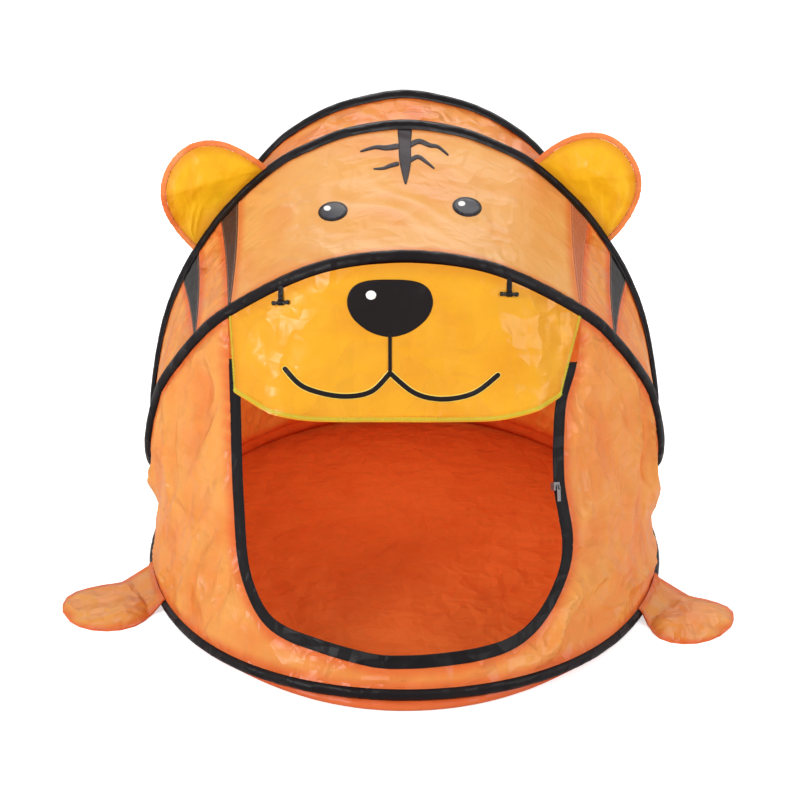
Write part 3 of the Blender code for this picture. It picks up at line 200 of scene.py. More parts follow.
@dataclass(frozen=True)
class Taffeta:
    """Plain-woven polyester taffeta, calendered: thin, crisp and slightly shiny, and light shows through it.

    The eye gets an even dyed colour that deepens where two layers meet at a seam, with painted shade laid there and
    in the valleys of folds, a soft satin highlight broken by hundreds of small hard creases, and a glow where lamps
    stand behind the cloth.
    """

    name: str
    slot: str
    colour: str
    deep: str
    # The painted shade tone, laid near seams and in the valleys of folds
    seam: str
    roughness: float = 0.42
    glow: float = 0.22
    crease: float = 0.45
    seam_shade_reach: float = 0.024
    shine: float = 0.35
    # The share of the painted shade tone that the deepest valleys get
    valley: float = 0.34
    # Dye takes unevenly over a hand's breadth
    dye_size: float = 0.09
    # Sharp creases, as crisp cloth keeps from its bag, and flat facets between them
    crease_size: float = 0.040
    facet_size: float = 0.060
    facet_bend: float = 0.05
    bend_size: float = 0.10
    # Threads are 0.1 mm apart, which is too fine to show, so their bars are drawn wider apart
    thread_pitch: float = 0.0016

    def build(self) -> bpy.types.Material:
        """Builds the material from its values.

        Returns:
            The material.
        """
        material, tree, shader, output = start_material(self.name)
        place = add_node(tree, "ShaderNodeTexCoord").outputs["Object"]
        uneven = ramp(tree, lumps(tree, place, self.dye_size, 3.0), 0.40, 0.72)
        colour = mix_colours(tree, uneven, linear(self.colour), linear(self.deep))
        # Near a seam the allowance behind the cloth makes it deeper, and painted shade is laid there too
        near = add_node(tree, "ShaderNodeAttribute", attribute_name="seam").outputs["Fac"]
        rim = ramp(tree, near, 0.0, self.seam_shade_reach, 0.70, 0.0, interpolation_type="SMOOTHSTEP")
        colour = mix_colours(tree, rim, colour, linear(self.seam))
        # Painted shade: a fold's valley, in shade and lit by light that has met dyed cloth already, is painted
        # deeper
        low = add_node(tree, "ShaderNodeAttribute", attribute_name="valley").outputs["Fac"]
        low = add_node(tree, "ShaderNodeMath", {0: low, 1: self.valley}, operation="MULTIPLY")
        colour = mix_colours(tree, low, colour, linear(self.seam))
        sharp = lumps(tree, place, self.crease_size, 2.5, 0.8, noise_type="RIDGED_MULTIFRACTAL")
        bend = lumps(tree, place, self.bend_size, 1.0).outputs["Color"]
        warp = {0: bend, 1: (self.facet_bend,) * 3, 2: place}
        warped = add_node(tree, "ShaderNodeVectorMath", warp, operation="MULTIPLY_ADD")
        flats = {"Vector": warped, "Scale": 1 / self.facet_size}
        flats = add_node(tree, "ShaderNodeTexVoronoi", flats, distance="MANHATTAN")
        bars = {"Vector": place, "Scale": 1 / self.thread_pitch / 20, "Distortion": 1.5, "Detail": 1.0}
        threads = add_node(tree, "ShaderNodeTexWave", bars).outputs["Fac"]
        relief = bump(tree, threads, 0.10, 0.0001)
        relief = bump(tree, sharp, self.crease, 0.0060, relief)
        relief = bump(tree, flats, self.crease, 0.011, relief)
        fill(shader, {"Base Color": colour, "Normal": relief})
        fill(shader, {"Roughness": self.roughness, "Specular IOR Level": self.shine})
        if self.glow > 0:
            through = add_node(tree, "ShaderNodeBsdfTranslucent", {"Color": colour, "Normal": relief})
            both = add_node(tree, "ShaderNodeMixShader", {0: self.glow, 1: shader, 2: through})
            fill(output, {"Surface": both})
        return material


@dataclass(frozen=True)
class Netting:
    """Knitted polyester mosquito net, drawn opaque. The eye gets dark threads and, between them, the dim colour of
    the inside seen through the holes, with its light and shade painted into the gap colour.
    """

    name: str
    slot: str
    thread: str
    gap: str
    # The holes are 1.2 mm apart, and are drawn wider apart to show
    hole_pitch: float = 0.0024
    unevenness: float = 0.15
    roughness: float = 0.62

    def build(self) -> bpy.types.Material:
        """Builds the material from its values.

        Returns:
            The material.
        """
        material, tree, shader, _ = start_material(self.name)
        place = add_node(tree, "ShaderNodeUVMap", uv_map="weave")
        holes = {"Vector": place, "Scale": 1 / self.hole_pitch, "Randomness": self.unevenness}
        holes = add_node(tree, "ShaderNodeTexVoronoi", holes)
        hole = ramp(tree, holes, 0.28, 0.50, 1.0, 0.0)
        colour = mix_colours(tree, hole, linear(self.thread), linear(self.gap))
        fill(shader, {"Base Color": colour, "Normal": bump(tree, holes, 0.5, 0.0005)})
        fill(shader, {"Roughness": self.roughness})
        return material


@dataclass(frozen=True)
class Plain:
    """An even finish: moulded nylon, plated zinc, spring steel, screen ink or spun thread, by its values."""

    name: str
    slot: str
    colour: str
    roughness: float
    metallic: float = 0.0
    grain: float = 0.0
    grain_size: float = 0.002
    grain_depth: float = 0.0002
    shine: float = 0.5

    def build(self) -> bpy.types.Material:
        """Builds the material from its values.

        Returns:
            The material.
        """
        material, tree, shader, _ = start_material(self.name)
        fill(shader, {"Base Color": linear(self.colour), "Roughness": self.roughness})
        fill(shader, {"Metallic": self.metallic, "Specular IOR Level": self.shine})
        if self.grain > 0:
            place = add_node(tree, "ShaderNodeTexCoord").outputs["Object"]
            grains = lumps(tree, place, self.grain_size, 2.0)
            fill(shader, {"Normal": bump(tree, grains, self.grain, self.grain_depth)})
        return material


# A taffeta's third colour is its painted shade tone, laid near seams and in the valleys of folds
FINISHES: dict[str, Any] = {
    "wall": Taffeta("orange_taffeta", "wall_taffeta", "F5B25A", "F29C48", "EA5A22", 0.34, 0.32, 0.75, valley=0.38),
    "face": Taffeta("pale_orange_taffeta", "face_taffeta", "F4BE6C", "F2B460", "EA7834", 0.40, 0.28, 0.35),
    "floor": Taffeta("floor_taffeta", "floor_taffeta", "E47234", "DE682E", "D65220", glow=0.10),
    "muzzle": Taffeta("yellow_taffeta", "muzzle_taffeta", "F4B423", "EEA61C", "E69318", 0.34, 0.22, 0.5),
    "ear": Taffeta("ear_taffeta", "ear_taffeta", "FACA1E", "F2B818", "E6941C", 0.36, 0.22, 0.3),
    "sleeve": Taffeta("black_taffeta", "sleeve_taffeta", "120C0E", "1A1416", "0C0809", 0.44, 0.0, 0.5, 0.022, 0.14),
    "binding": Taffeta("binding_taffeta", "wall_taffeta", "E88A48", "E27438", "DA5822", 0.40, 0.0, 0.4),
    # Painted light: the nets are drawn opaque, so each gap colour paints the cabin seen through the holes, lit for
    # the right inner vent, with its threads painted reddish by the light, and in shade for the others
    "net": Netting("netting_painted_lit_inside", "vent_mesh", "8A4028", "DC7E4C"),
    "painted_shaded_net": Netting("netting_painted_shaded_inside", "vent_mesh", "140C0B", "542818"),
    "dark_net": Netting("black_netting", "vent_mesh", "0A0708", "1E1412"),
    "lime": Plain("lime_overlock_thread", "hem_thread", "CCCB36", 0.62, grain=0.5),
    "thread": Plain("dark_sewing_thread", "sleeve_taffeta", "1C1416", 0.65, shine=0.15),
    "orange_thread": Plain("orange_sewing_thread", "wall_taffeta", "D8542A", 0.6),
    "pale_thread": Plain("pale_sewing_thread", "wall_taffeta", "F2C49A", 0.6),
    "ink": Plain("black_screen_ink", "sleeve_taffeta", "181213", 0.46, shine=0.15),
    "stripe_ink": Plain("dark_grey_screen_ink", "sleeve_taffeta", "352D2F", 0.5, shine=0.15),
    "eye_ink": Plain("grey_screen_ink", "sleeve_taffeta", "2E2C33", 0.42, shine=0.25),
    "white_ink": Plain("white_screen_ink", "hem_thread", "F4F1EA", 0.5),
    "pale_ink": Plain("pale_yellow_screen_ink", "hem_thread", "FBD65C", 0.5),
    "nylon": Plain("black_moulded_nylon", "toggle_plastic", "181416", 0.34, grain=0.15, shine=0.3),
    "coil": Plain("black_nylon_zip_coil", "sleeve_taffeta", "141012", 0.38, shine=0.3),
    "pull": Plain("black_nickel_die_cast_zinc", "spring_steel", "8A8688", 0.28, 1.0),
    "steel": Plain("blued_spring_steel", "spring_steel", "9A9AA0", 0.34, 1.0),
}
_made: dict[str, bpy.types.Material] = {}


def material_of(key: str) -> bpy.types.Material:
    """The material of a finish, built once.

    Args:
        key: the finish's key.

    Returns:
        The material.
    """
    if key not in _made:
        _made[key] = FINISHES[key].build()
    return _made[key]


# Curves and hoops


def unit(vectors: Array) -> Array:
    """The vectors at a length of one."""
    return vectors / np.linalg.norm(vectors, axis=-1, keepdims=True)


def across(vectors: Array, tangents: Array) -> Array:
    """The part of each vector that is square to a tangent, at unit length."""
    return unit(vectors - tangents * np.sum(vectors * tangents, axis=-1, keepdims=True))


def spline(p0: Array, p1: Array, p2: Array, p3: Array, t: Array) -> Array:
    """The smooth span from p1 to p2 at shares t of it, by its neighbours."""
    curve = 2 * p1 + (p2 - p0) * t + (2 * p0 - 5 * p1 + 4 * p2 - p3) * t**2 + (3 * p1 + p3 - p0 - 3 * p2) * t**3
    return curve / 2


def smooth_loop(points: Any, steps: int = 24) -> Array:
    """A closed smooth curve through points, with a number of samples for each span.

    Args:
        points: the points in turn.
        steps: samples for each span.

    Returns:
        The samples.
    """
    line = np.asarray(points, float)
    around = [np.roll(line, shift, axis=0)[:, None, :] for shift in (1, 0, -1, -2)]
    return spline(*around, (np.arange(steps) / steps)[None, :, None]).reshape(-1, line.shape[1])


def smooth_line(points: Any, steps: int = 8) -> Array:
    """An open smooth curve through points, with a number of samples for each span and both ends.

    Args:
        points: the points in turn.
        steps: samples for each span.

    Returns:
        The samples.
    """
    line = np.asarray(points, float)
    full = np.concatenate([line[:1], line, line[-1:]])
    shares = (np.arange(steps) / steps)[:, None]
    return np.concatenate([*(spline(*full[k : k + 4], shares) for k in range(len(line) - 1)), line[-1:]])


def distances(points: Array) -> Array:
    """How far along a line each of its points lies."""
    return np.concatenate([[0], np.cumsum(np.linalg.norm(np.diff(points, axis=0), axis=1))])


def read_at(at: Any, known: Array, values: Array) -> Array:
    """Rows of values, read between the known places of a line."""
    return np.stack([np.interp(at, known, column) for column in values.T], axis=-1)


def at_shares(dense: Array, shares: Array) -> Array:
    """Points at shares of a dense curve's length."""
    along = distances(dense)
    return read_at(np.asarray(shares) * along[-1], along, dense)


def facing(vectors: Array, way: Array) -> Array:
    """The vectors, each turned round where it points against a way."""
    return vectors * np.sign(np.sum(vectors * way, axis=-1, keepdims=True))


def turning(angles: Array) -> tuple[Array, Array]:
    """The cosines and sines of angles, each with an axis more, to be multiplied with directions."""
    return np.cos(angles)[..., None], np.sin(angles)[..., None]


def full_shares(seams: Sequence[float], density: int) -> Array:
    """Shares of an arch's length from left to right, by the shares of a half arch at which its seams lie.

    Args:
        seams: the half arch's seams as shares.
        density: stations for each of the solids'.

    Returns:
        The shares.
    """
    half = [seams[0]]
    for start, end, steps in zip(seams, seams[1:], SEAM_STEPS):
        half += [start + (end - start) * k / (steps * density) for k in range(1, steps * density + 1)]
    return np.concatenate([(1 - np.array(half[::-1])) / 2, (1 + np.array(half[1:])) / 2])


@dataclass
class Arch:
    """A row of stations along a sleeve, with directions out of the tent and to the sleeve's outer edge."""

    points: Array
    tangents: Array
    normals: Array
    outers: Array

    def edge(self, side: int) -> Array:
        """The line where cloth meets the sleeve: 1 is the loop's outside and -1 its inside."""
        return self.points + side * (SLEEVE_HALF_WIDTH + BUTT_GAP) * self.outers

    def read(self, x: float, values: Array) -> Array:
        """A row of the arch's values at a place along X."""
        return read_at(x, self.points[:, 0], values)


@dataclass
class HalfArch:
    """Half of an arch from its apex to just above its curl, as shares of its half width, reach and rise."""

    rows: Sequence[tuple[float, float, float]]
    half_width: float
    curl: tuple[float, float]
    apex: tuple[float, float]

    def points(self) -> Array:
        """The half arch's control points."""
        low, high = np.array([0.0, *self.curl]), np.array([self.half_width, *self.apex])
        return low + (high - low) * np.array(self.rows)


@dataclass
class Hoop:
    """A closed sprung loop in a sleeve, bent to a saddle: two arches that share their curls."""

    name: str
    first: HalfArch
    second: HalfArch
    first_seams: Sequence[float]
    second_seams: Sequence[float]
    curl_width_share: float = 0.967
    steps: int = 24

    def curves(self) -> tuple[Array, Array]:
        """The two arches as dense curves, from the left curl to the right one.

        Returns:
            Places along each arch.
        """
        mirror = np.array([-1.0, 1.0, 1.0])
        a, b = self.first.points(), self.second.points()
        curl = np.array([[self.first.half_width * self.curl_width_share, *self.first.curl]])
        control = np.concatenate([curl * mirror, a[:0:-1] * mirror, a, curl, b[::-1], b[1:] * mirror])
        dense = smooth_loop(control, self.steps)
        turn = 2 * len(a) * self.steps
        return dense[: turn + 1], np.concatenate([dense[turn:], dense[:1]])[::-1]

    def arches(self, density: int) -> tuple[Arch, Arch]:
        """The two arches with their frames, with density stations for each of the solids'.

        Args:
            density: stations for each of the solids'.

        Returns:
            The two arches.
        """
        seams = (self.first_seams, self.second_seams)
        lines = [at_shares(curve, full_shares(s, density)) for curve, s in zip(self.curves(), seams)]
        made = []
        for line, other in (lines, lines[::-1]):
            full = np.concatenate([other[1:2], line, other[-2:-1]])
            steps = unit(np.diff(full, axis=0))
            tangents = unit(steps[:-1] + steps[1:])
            normals = across(line - CORE, tangents)
            outers = np.cross(tangents, normals)
            made.append(Arch(line, tangents, normals, outers * np.sign(outers[0] @ DOWN)))
        return made[0], made[1]


# Cloth


class Creases:
    """Seeded smooth noise on a plane, from which folds and crinkles are drawn."""

    def __init__(self, seed: int, size: int = 96) -> None:
        """Fills the lattice."""
        self.lattice = np.random.default_rng(seed).random((size, size))

    def smooth(self, u: Array, v: Array) -> Array:
        """Noise from 0 to 1 at places of the plane, whose lattice steps are 1 apart.

        Args:
            u: places along the plane.
            v: places across it.

        Returns:
            The noise at each place.
        """
        size = len(self.lattice)
        i, j = np.floor(u).astype(int), np.floor(v).astype(int)
        s, t = u - i, v - j
        s, t = s * s * (3 - 2 * s), t * t * (3 - 2 * t)
        i, j, k, m = i % size, j % size, (i + 1) % size, (j + 1) % size
        low = self.lattice[i, j] * (1 - s) + self.lattice[k, j] * s
        high = self.lattice[i, m] * (1 - s) + self.lattice[k, m] * s
        return low * (1 - t) + high * t

    def ridged(self, u: Array, v: Array) -> Array:
        """Noise with sharp crests, as folded cloth has."""
        return 1 - np.abs(2 * self.smooth(u, v) - 1)


@dataclass(frozen=True)
class Drape:
    """How a sheet hangs: depths of its swells, folds, crinkles and seam puckers, and how far apart they stand."""

    seed: int
    billow: float = 0.0030
    billow_size: float = 0.10
    fold: float = 0.0046
    fold_width: float = 0.034
    fold_length: float = 0.20
    fold_angle: float = 0.0
    crinkle: float = 0.0022
    crinkle_size: float = 0.026
    pucker: float = 0.0026
    pucker_pitch: float = 0.015
    pucker_reach: float = 0.030
    warp: float = 1.6
    fold_mean: float = 0.35
    crinkle_mean: float = 0.3
    finer: float = 1.9
    patch: tuple[float, float] = (0.16, 0.22)
    held_reach: float = 0.020
    stitched_reach: float = 0.005

    def depth(self, u: Array, v: Array, seam: Array) -> Array:
        """How far cloth stands off its plain surface, u and v metres along it and seam metres from where it is held.

        Args:
            u: places along it.
            v: places across it.
            seam: distances to where it is held.

        Returns:
            A depth for each place.
        """
        noise = Creases(self.seed)
        angle = math.radians(self.fold_angle)
        p, q = u * math.cos(angle) + v * math.sin(angle), v * math.cos(angle) - u * math.sin(angle)
        # The bare numbers added below read each layer from another part of the lattice
        swell = noise.smooth(u / self.billow_size, v / self.billow_size) - 0.5
        warp = swell * self.warp
        folds = noise.ridged(p / self.fold_width + warp, q / self.fold_length + 7.3) ** 2 - self.fold_mean
        some = noise.smooth(p / self.patch[0] + 3.1, q / self.patch[1] + 1.7)
        crisp = noise.ridged(u / self.crinkle_size + warp * 2, v / self.crinkle_size + 11.9) ** 3
        crisp = crisp - self.crinkle_mean
        fine_v, fine_u = v / self.crinkle_size * self.finer, u / self.crinkle_size * self.finer
        small = noise.ridged(fine_v + 5.5, fine_u) ** 3 - self.crinkle_mean
        crisp = crisp + 0.5 * small
        gathers = noise.ridged((u + v) / self.pucker_pitch, seam / self.pucker_reach) - 0.5
        held = 1 - np.exp(-((seam / self.held_reach) ** 2))
        near = np.exp(-seam / self.pucker_reach) * (1 - np.exp(-seam / self.stitched_reach))
        depth = held * (2 * self.billow * swell + self.fold * folds * some * 2 + self.crinkle * crisp)
        return depth + near * self.pucker * gathers


@dataclass
class Sheet:
    """A grid of places on a sheet of cloth, before and after it is wrinkled."""

    grid: Array
    thickness: float = CLOTH
    pinned: tuple[bool, bool, bool, bool] = (True, True, True, True)
    closed: bool = False
    flat: Array = field(init=False)
    u: Array = field(init=False)
    v: Array = field(init=False)
    seam: Array = field(init=False)
    valley: Array = field(init=False)

    def __post_init__(self) -> None:
        """Measures the plain sheet. pinned is its first row, last row, first column and last column."""
        self.valley = np.zeros(self.grid.shape[:2])
        self.flat = self.grid.copy()
        beside = np.linalg.norm(np.diff(self.grid, axis=1), axis=2)
        along = np.linalg.norm(np.diff(self.grid, axis=0), axis=2)
        self.u = np.concatenate([np.zeros((len(self.grid), 1)), np.cumsum(beside, axis=1)], axis=1)
        self.v = np.concatenate([np.zeros((1, self.grid.shape[1])), np.cumsum(along, axis=0)], axis=0)
        sides = (self.v, self.v[-1:] - self.v, self.u, self.u[:, -1:] - self.u)
        far = np.full(self.u.shape, 1.0)
        self.seam = np.minimum.reduce([far] + [d for d, held in zip(sides, self.pinned) if held])

    def normals(self) -> Array:
        """The direction square to the sheet at each place.

        Returns:
            A unit vector for each place.
        """
        rows = np.gradient(self.grid, axis=0)
        if self.closed:
            columns = (np.roll(self.grid, -1, axis=1) - np.roll(self.grid, 1, axis=1)) / 2
        else:
            columns = np.gradient(self.grid, axis=1)
        normal = np.cross(rows, columns)
        length = np.linalg.norm(normal, axis=2, keepdims=True)
        weak = length[..., 0] < np.max(length) * 1e-6
        normal[weak] = np.mean(normal[~weak], axis=0)
        return unit(normal)

    def wrinkle(self, drape: Drape, share: Any = 1.0) -> "Sheet":
        """Wrinkles the sheet by a share of what the drape says, and gives it back.

        Args:
            drape: how the cloth hangs.
            share: how much of it holds at each place.

        Returns:
            The sheet.
        """
        depth = drape.depth(self.u, self.v, self.seam) * share
        # A mask of the valleys, where the cloth's colour gets painted shade
        self.valley = np.clip(VALLEY_SHADE_GAIN * (depth.mean() - depth) / max(depth.std(), 1e-6), 0, 1)
        self.grid = self.grid + self.normals() * depth[..., None]
        return self

    def mesh(self, name: str) -> bpy.types.Mesh:
        """A closed mesh of the sheet, with its distances to the seams and its flat places.

        Args:
            name: the mesh's name.

        Returns:
            The mesh.
        """
        rows, columns = self.grid.shape[:2]
        off = self.normals() * self.thickness / 2
        places = np.concatenate([(self.grid + off).reshape(-1, 3), (self.grid - off).reshape(-1, 3)])
        index = np.arange(rows * columns).reshape(rows, columns)
        if self.closed:
            index = np.concatenate([index, index[:, :1]], axis=1)
        a, b, c, d = index[:-1, :-1], index[:-1, 1:], index[1:, 1:], index[1:, :-1]
        shift = rows * columns
        faces = [np.stack([a, d, c, b], axis=2).reshape(-1, 4)]
        faces.append(np.stack([a, b, c, d], axis=2).reshape(-1, 4) + shift)
        if self.closed:
            rims = [index[0], index[-1][::-1]]
        else:
            sides = index[0, :-1], index[:-1, -1], index[-1, :0:-1], index[:0:-1, 0], index[0, :1]
            rims = [np.concatenate(sides)]
        for rim in rims:
            faces.append(np.stack([rim[:-1], rim[1:], rim[1:] + shift, rim[:-1] + shift], axis=1))
        mesh = make_mesh(name, places, np.concatenate(faces).tolist())
        add_places(mesh, *(np.tile(values.ravel(), 2) for values in (self.seam, self.u, self.v)))
        # The valleys' painted shade mask, for the cloth's colour
        layer = mesh.attributes.new("valley", "FLOAT", "POINT")
        layer.data.foreach_set("value", np.tile(self.valley.ravel(), 2).astype(np.float32))
        return tidy(mesh)

    def sizes(self) -> tuple[tuple[float, float], float]:
        """The flat cut's width and length, and its area, measured on the plain sheet.

        Returns:
            The width and length in metres, and the area.
        """
        a, b = self.flat[1:, :-1] - self.flat[:-1, :-1], self.flat[:-1, 1:] - self.flat[:-1, :-1]
        area = float(np.linalg.norm(np.cross(a, b), axis=2).sum())
        width, length = float(self.u[:, -1].max()), float(self.v[-1].max())
        return (width, length), min(max(area, LEAST_FILL * width * length), MOST_FILL * width * length)


def add_places(mesh: bpy.types.Mesh, seam: Array, u: Array, v: Array) -> None:
    """Stores each point's distance to a seam, and its place on the flat sheet as the map "weave", in metres.

    Args:
        mesh: the mesh.
        seam: a distance for each point.
        u: places along the cut.
        v: places across it.
    """
    mesh.attributes.new("seam", "FLOAT", "POINT").data.foreach_set("value", seam.astype(np.float32))
    corner = np.empty(len(mesh.loops), np.int32)
    mesh.loops.foreach_get("vertex_index", corner)
    flat = np.stack([u[corner], v[corner]], axis=1).astype(np.float32)
    mesh.uv_layers.new(name="weave").data.foreach_set("uv", flat.ravel())


def make_mesh(name: str, places: Array, faces: Any, edges: Any = ()) -> bpy.types.Mesh:
    """A mesh of places, faces and edges.

    Args:
        name: the mesh's name.
        places: its points.
        faces: its faces' points.
        edges: its loose edges.

    Returns:
        The mesh.
    """
    mesh = bpy.data.meshes.new(name)
    mesh.from_pydata(places.tolist(), edges, faces)
    return mesh


def edit(mesh: bpy.types.Mesh, change: Callable[[bmesh.types.BMesh], Any]) -> None:
    """Changes a mesh with one of Blender's mesh tools.

    Args:
        mesh: the mesh.
        change: what to do to it.
    """
    work = bmesh.new()
    work.from_mesh(mesh)
    change(work)
    work.to_mesh(mesh)
    work.free()


def tidy(mesh: bpy.types.Mesh, merge: float = 0.00001, angle: float = 60.0) -> bpy.types.Mesh:
    """Joins points nearer than merge, and shades smooth between edges that are sharp from an angle in degrees.

    Args:
        mesh: the mesh.
        merge: the distance.
        angle: the angle in degrees.

    Returns:
        The mesh.
    """
    edit(mesh, lambda work: bmesh.ops.remove_doubles(work, verts=work.verts, dist=merge))
    mesh.shade_smooth()
    mesh.set_sharp_from_angle(angle=math.radians(angle))
    return mesh


def face_out(mesh: bpy.types.Mesh) -> bpy.types.Mesh:
    """Turns a closed mesh's faces outwards."""
    edit(mesh, lambda work: bmesh.ops.recalc_face_normals(work, faces=work.faces))
    return mesh


def swept(
    name: str, points: Array, wides: Array, deeps: Array, section: Section, closed: bool, swell: Any = 1.0
) -> bpy.types.Mesh:
    """A section carried along a line.

    Args:
        name: the mesh's name.
        points: the line's places.
        wides: the section's first direction at each place.
        deeps: its second direction at each place.
        section: its corners, clockwise seen along the line.
        closed: whether the line returns to its start.
        swell: a share for each place and corner by which the section grows.

    Returns:
        The mesh.
    """
    corners = np.asarray(section, float)
    count, sides = len(points), len(corners)
    share = np.broadcast_to(swell, (count, sides))[..., None]
    spread = corners[None, :, :1] * wides[:, None] + corners[None, :, 1:] * deeps[:, None]
    places = points[:, None] + spread * share
    index = np.arange(count * sides).reshape(count, sides)
    if closed:
        index = np.concatenate([index, index[:1]])
    turned = np.concatenate([index, index[:, :1]], axis=1)
    corners = turned[:-1, :-1], turned[:-1, 1:], turned[1:, 1:], turned[1:, :-1]
    quads = np.stack(corners, axis=2).reshape(-1, 4)
    caps = [] if closed else [index[0][::-1].tolist(), index[-1].tolist()]
    mesh = make_mesh(name, places.reshape(-1, 3), quads.tolist() + caps)
    along = np.repeat(distances(points), sides)
    add_places(mesh, np.full(count * sides, 1.0), along, np.tile(distances(corners), count))
    return tidy(face_out(mesh), angle=50.0)


def add_object(name: str, data: Any) -> Any:
    """Adds an object to the scene.

    Args:
        name: the object's name.
        data: its mesh, lamp or camera.

    Returns:
        The object.
    """
    obj = bpy.data.objects.new(name, data)
    bpy.context.scene.collection.objects.link(obj)
    return obj


def applied(obj: Any, name: str) -> bpy.types.Mesh:
    """The mesh that an object's modifiers make, in place of the object.

    Args:
        obj: the object, which is taken away.
        name: the mesh's name.

    Returns:
        The mesh.
    """
    bpy.context.view_layer.update()
    mesh = bpy.data.meshes.new_from_object(obj.evaluated_get(bpy.context.evaluated_depsgraph_get()))
    bpy.data.objects.remove(obj)
    mesh.name = name
    return mesh


def piece(
    mesh: bpy.types.Mesh, finish: str, body: Optional[str] = "tent", stands_for: Optional[Sequence[str]] = None
) -> Any:
    """Makes a dressed piece that rides on a body.

    Args:
        mesh: its final mesh, whose name the piece takes.
        finish: the key of its finish.
        body: the body that it rides on, or None where it rides on none.
        stands_for: the solids that it takes the place of, or None for the solid of its own name, if there is one.

    Returns:
        The piece.
    """
    label = mesh.name.split(".")[0]
    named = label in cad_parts
    obj = add_object(f"{label}_finished" if named else label, mesh)
    mesh.materials.clear()
    mesh.materials.append(material_of(finish))
    if body is not None:
        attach(obj, body)
    if stands_for is None:
        stands_for = [label] if named else []
    if stands_for:
        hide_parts(*stands_for)
    LOG.info("%s: %d faces, %s", obj.name, len(mesh.polygons), material_of(finish).name)
    return obj


def cloth_piece(
    sheet: Sheet, name: str, finish: str, body: str = "tent"
) -> Any:
    """Args:
        sheet: the wrinkled sheet.
        name: the piece's name.
        finish: the key of its finish.
        body: the body that it rides on.

    Returns:
        The piece.
    """
    obj = piece(sheet.mesh(name), finish, body)
    return obj


def lofted(top: Array, bottom: Array, rows: int, sag: float) -> Array:
    """A grid from one edge to another, drawn in towards the cabin by at most sag where the span is widest.

    Args:
        top: the upper edge.
        bottom: the lower edge.
        rows: steps between them.
        sag: the most that it is drawn in.

    Returns:
        The grid.
    """
    t = (np.arange(rows + 1) / rows)[:, None, None]
    grid = (1 - t) * top + t * bottom
    spans = np.linalg.norm(bottom - top, axis=1)
    from_end = np.minimum(np.arange(len(top)), np.arange(len(top))[::-1])
    pull = sag * np.sin(np.pi * t[..., 0]) * spans / spans.max() * np.minimum(from_end / PULL_EASE, 1)
    return grid + unit(CORE - grid) * pull[..., None]


# What repeats: stitches and zip teeth


@dataclass
class Row:
    """Small pieces set at an even pitch along lines, as stitches and zip teeth are, by Geometry Nodes."""

    pitch: float
    size: tuple[float, float, float]
    seed: int = 3
    jitter: float = 0.12

    def tree(self) -> tuple[bpy.types.NodeTree, dict[str, str]]:
        """The node tree that sets the small pieces, and its inputs' identifiers by name.

        Returns:
            The tree and the identifiers.
        """
        tree = bpy.data.node_groups.new("pieces_along_lines", "GeometryNodeTree")
        face = tree.interface
        for way in ("OUTPUT", "INPUT"):
            face.new_socket("Geometry", in_out=way, socket_type="NodeSocketGeometry")
        kinds = {"Pitch": "Float", "Size": "Vector", "Jitter": "Float", "Finish": "Material"}
        sockets = {
            name: face.new_socket(name, in_out="INPUT", socket_type=f"NodeSocket{kind}").identifier
            for name, kind in kinds.items()
        }
        given = tree.nodes.new("NodeGroupInput").outputs
        line = add_node(tree, "GeometryNodeMeshToCurve", {0: given["Geometry"]})
        pitch = {"Curve": line, "Length": given["Pitch"]}
        even = add_node(tree, "GeometryNodeResampleCurve", pitch, mode="LENGTH")
        up = add_node(tree, "GeometryNodeInputNamedAttribute", {"Name": "up"}, data_type="FLOAT_VECTOR")
        stand = add_node(tree, "FunctionNodeAlignRotationToVector", {"Vector": up}, axis="Z")
        turn = {"Rotation": stand, "Vector": add_node(tree, "GeometryNodeInputTangent")}
        lie = add_node(tree, "FunctionNodeAlignRotationToVector", turn, axis="X", pivot_axis="Z")
        less = add_node(tree, "ShaderNodeMath", {0: 1.0, 1: given["Jitter"]}, operation="SUBTRACT")
        spread = {2: less, 3: 1.0, "Seed": self.seed}
        chance = add_node(tree, "FunctionNodeRandomValue", spread, data_type="FLOAT").outputs[1]
        grow = add_node(tree, "ShaderNodeVectorMath", {0: given["Size"], "Scale": chance}, operation="SCALE")
        bead = add_node(tree, "GeometryNodeMeshIcoSphere", {"Radius": 0.5, "Subdivisions": 1})
        each = {"Points": even, "Instance": bead, "Rotation": lie, "Scale": grow}
        copies = add_node(tree, "GeometryNodeInstanceOnPoints", each)
        real = add_node(tree, "GeometryNodeRealizeInstances", {0: copies})
        dressed = add_node(tree, "GeometryNodeSetMaterial", {"Geometry": real, "Material": given["Finish"]})
        add_node(tree, "NodeGroupOutput", {0: dressed})
        return tree, sockets

    def set_along(
        self, name: str, lines: Sequence[tuple[Array, Array]], finish: str, body: str = "tent"
    ) -> Any:
        """Sets the small pieces along lines.

        Args:
            name: the piece's name.
            lines: pairs of places and of directions out of the cloth there.
            finish: the key of the finish.
            body: the body that they ride on, or "" where they ride on none.

        Returns:
            The piece.
        """
        points = np.concatenate([line for line, _ in lines])
        ups = np.concatenate([up for _, up in lines])
        edges, start = [], 0
        for line, _ in lines:
            edges += [(start + k, start + k + 1) for k in range(len(line) - 1)]
            start += len(line)
        mesh = make_mesh(name + "_lines", points, [], edges)
        up = mesh.attributes.new("up", "FLOAT_VECTOR", "POINT")
        up.data.foreach_set("vector", ups.astype(np.float32).ravel())
        guide = add_object(name + "_lines", mesh)
        tree, sockets = self.tree()
        modifier = guide.modifiers.new("pieces", "NODES")
        modifier.node_group = tree
        given = {"Pitch": self.pitch, "Size": self.size, "Jitter": self.jitter, "Finish": material_of(finish)}
        for key, value in given.items():
            modifier[sockets[key]] = value
        made = applied(guide, name)
        made.shade_smooth()
        return piece(made, finish, body or None)


STITCH = Row(0.0036, (0.0026, 0.0007, 0.0006))
OVERLOCK = Row(0.0024, (0.0017, 0.0013, 0.0080), seed=8)
TOOTH = Row(0.0020, (0.0034, 0.0015, 0.0022), seed=1, jitter=0.02)


# Sleeves


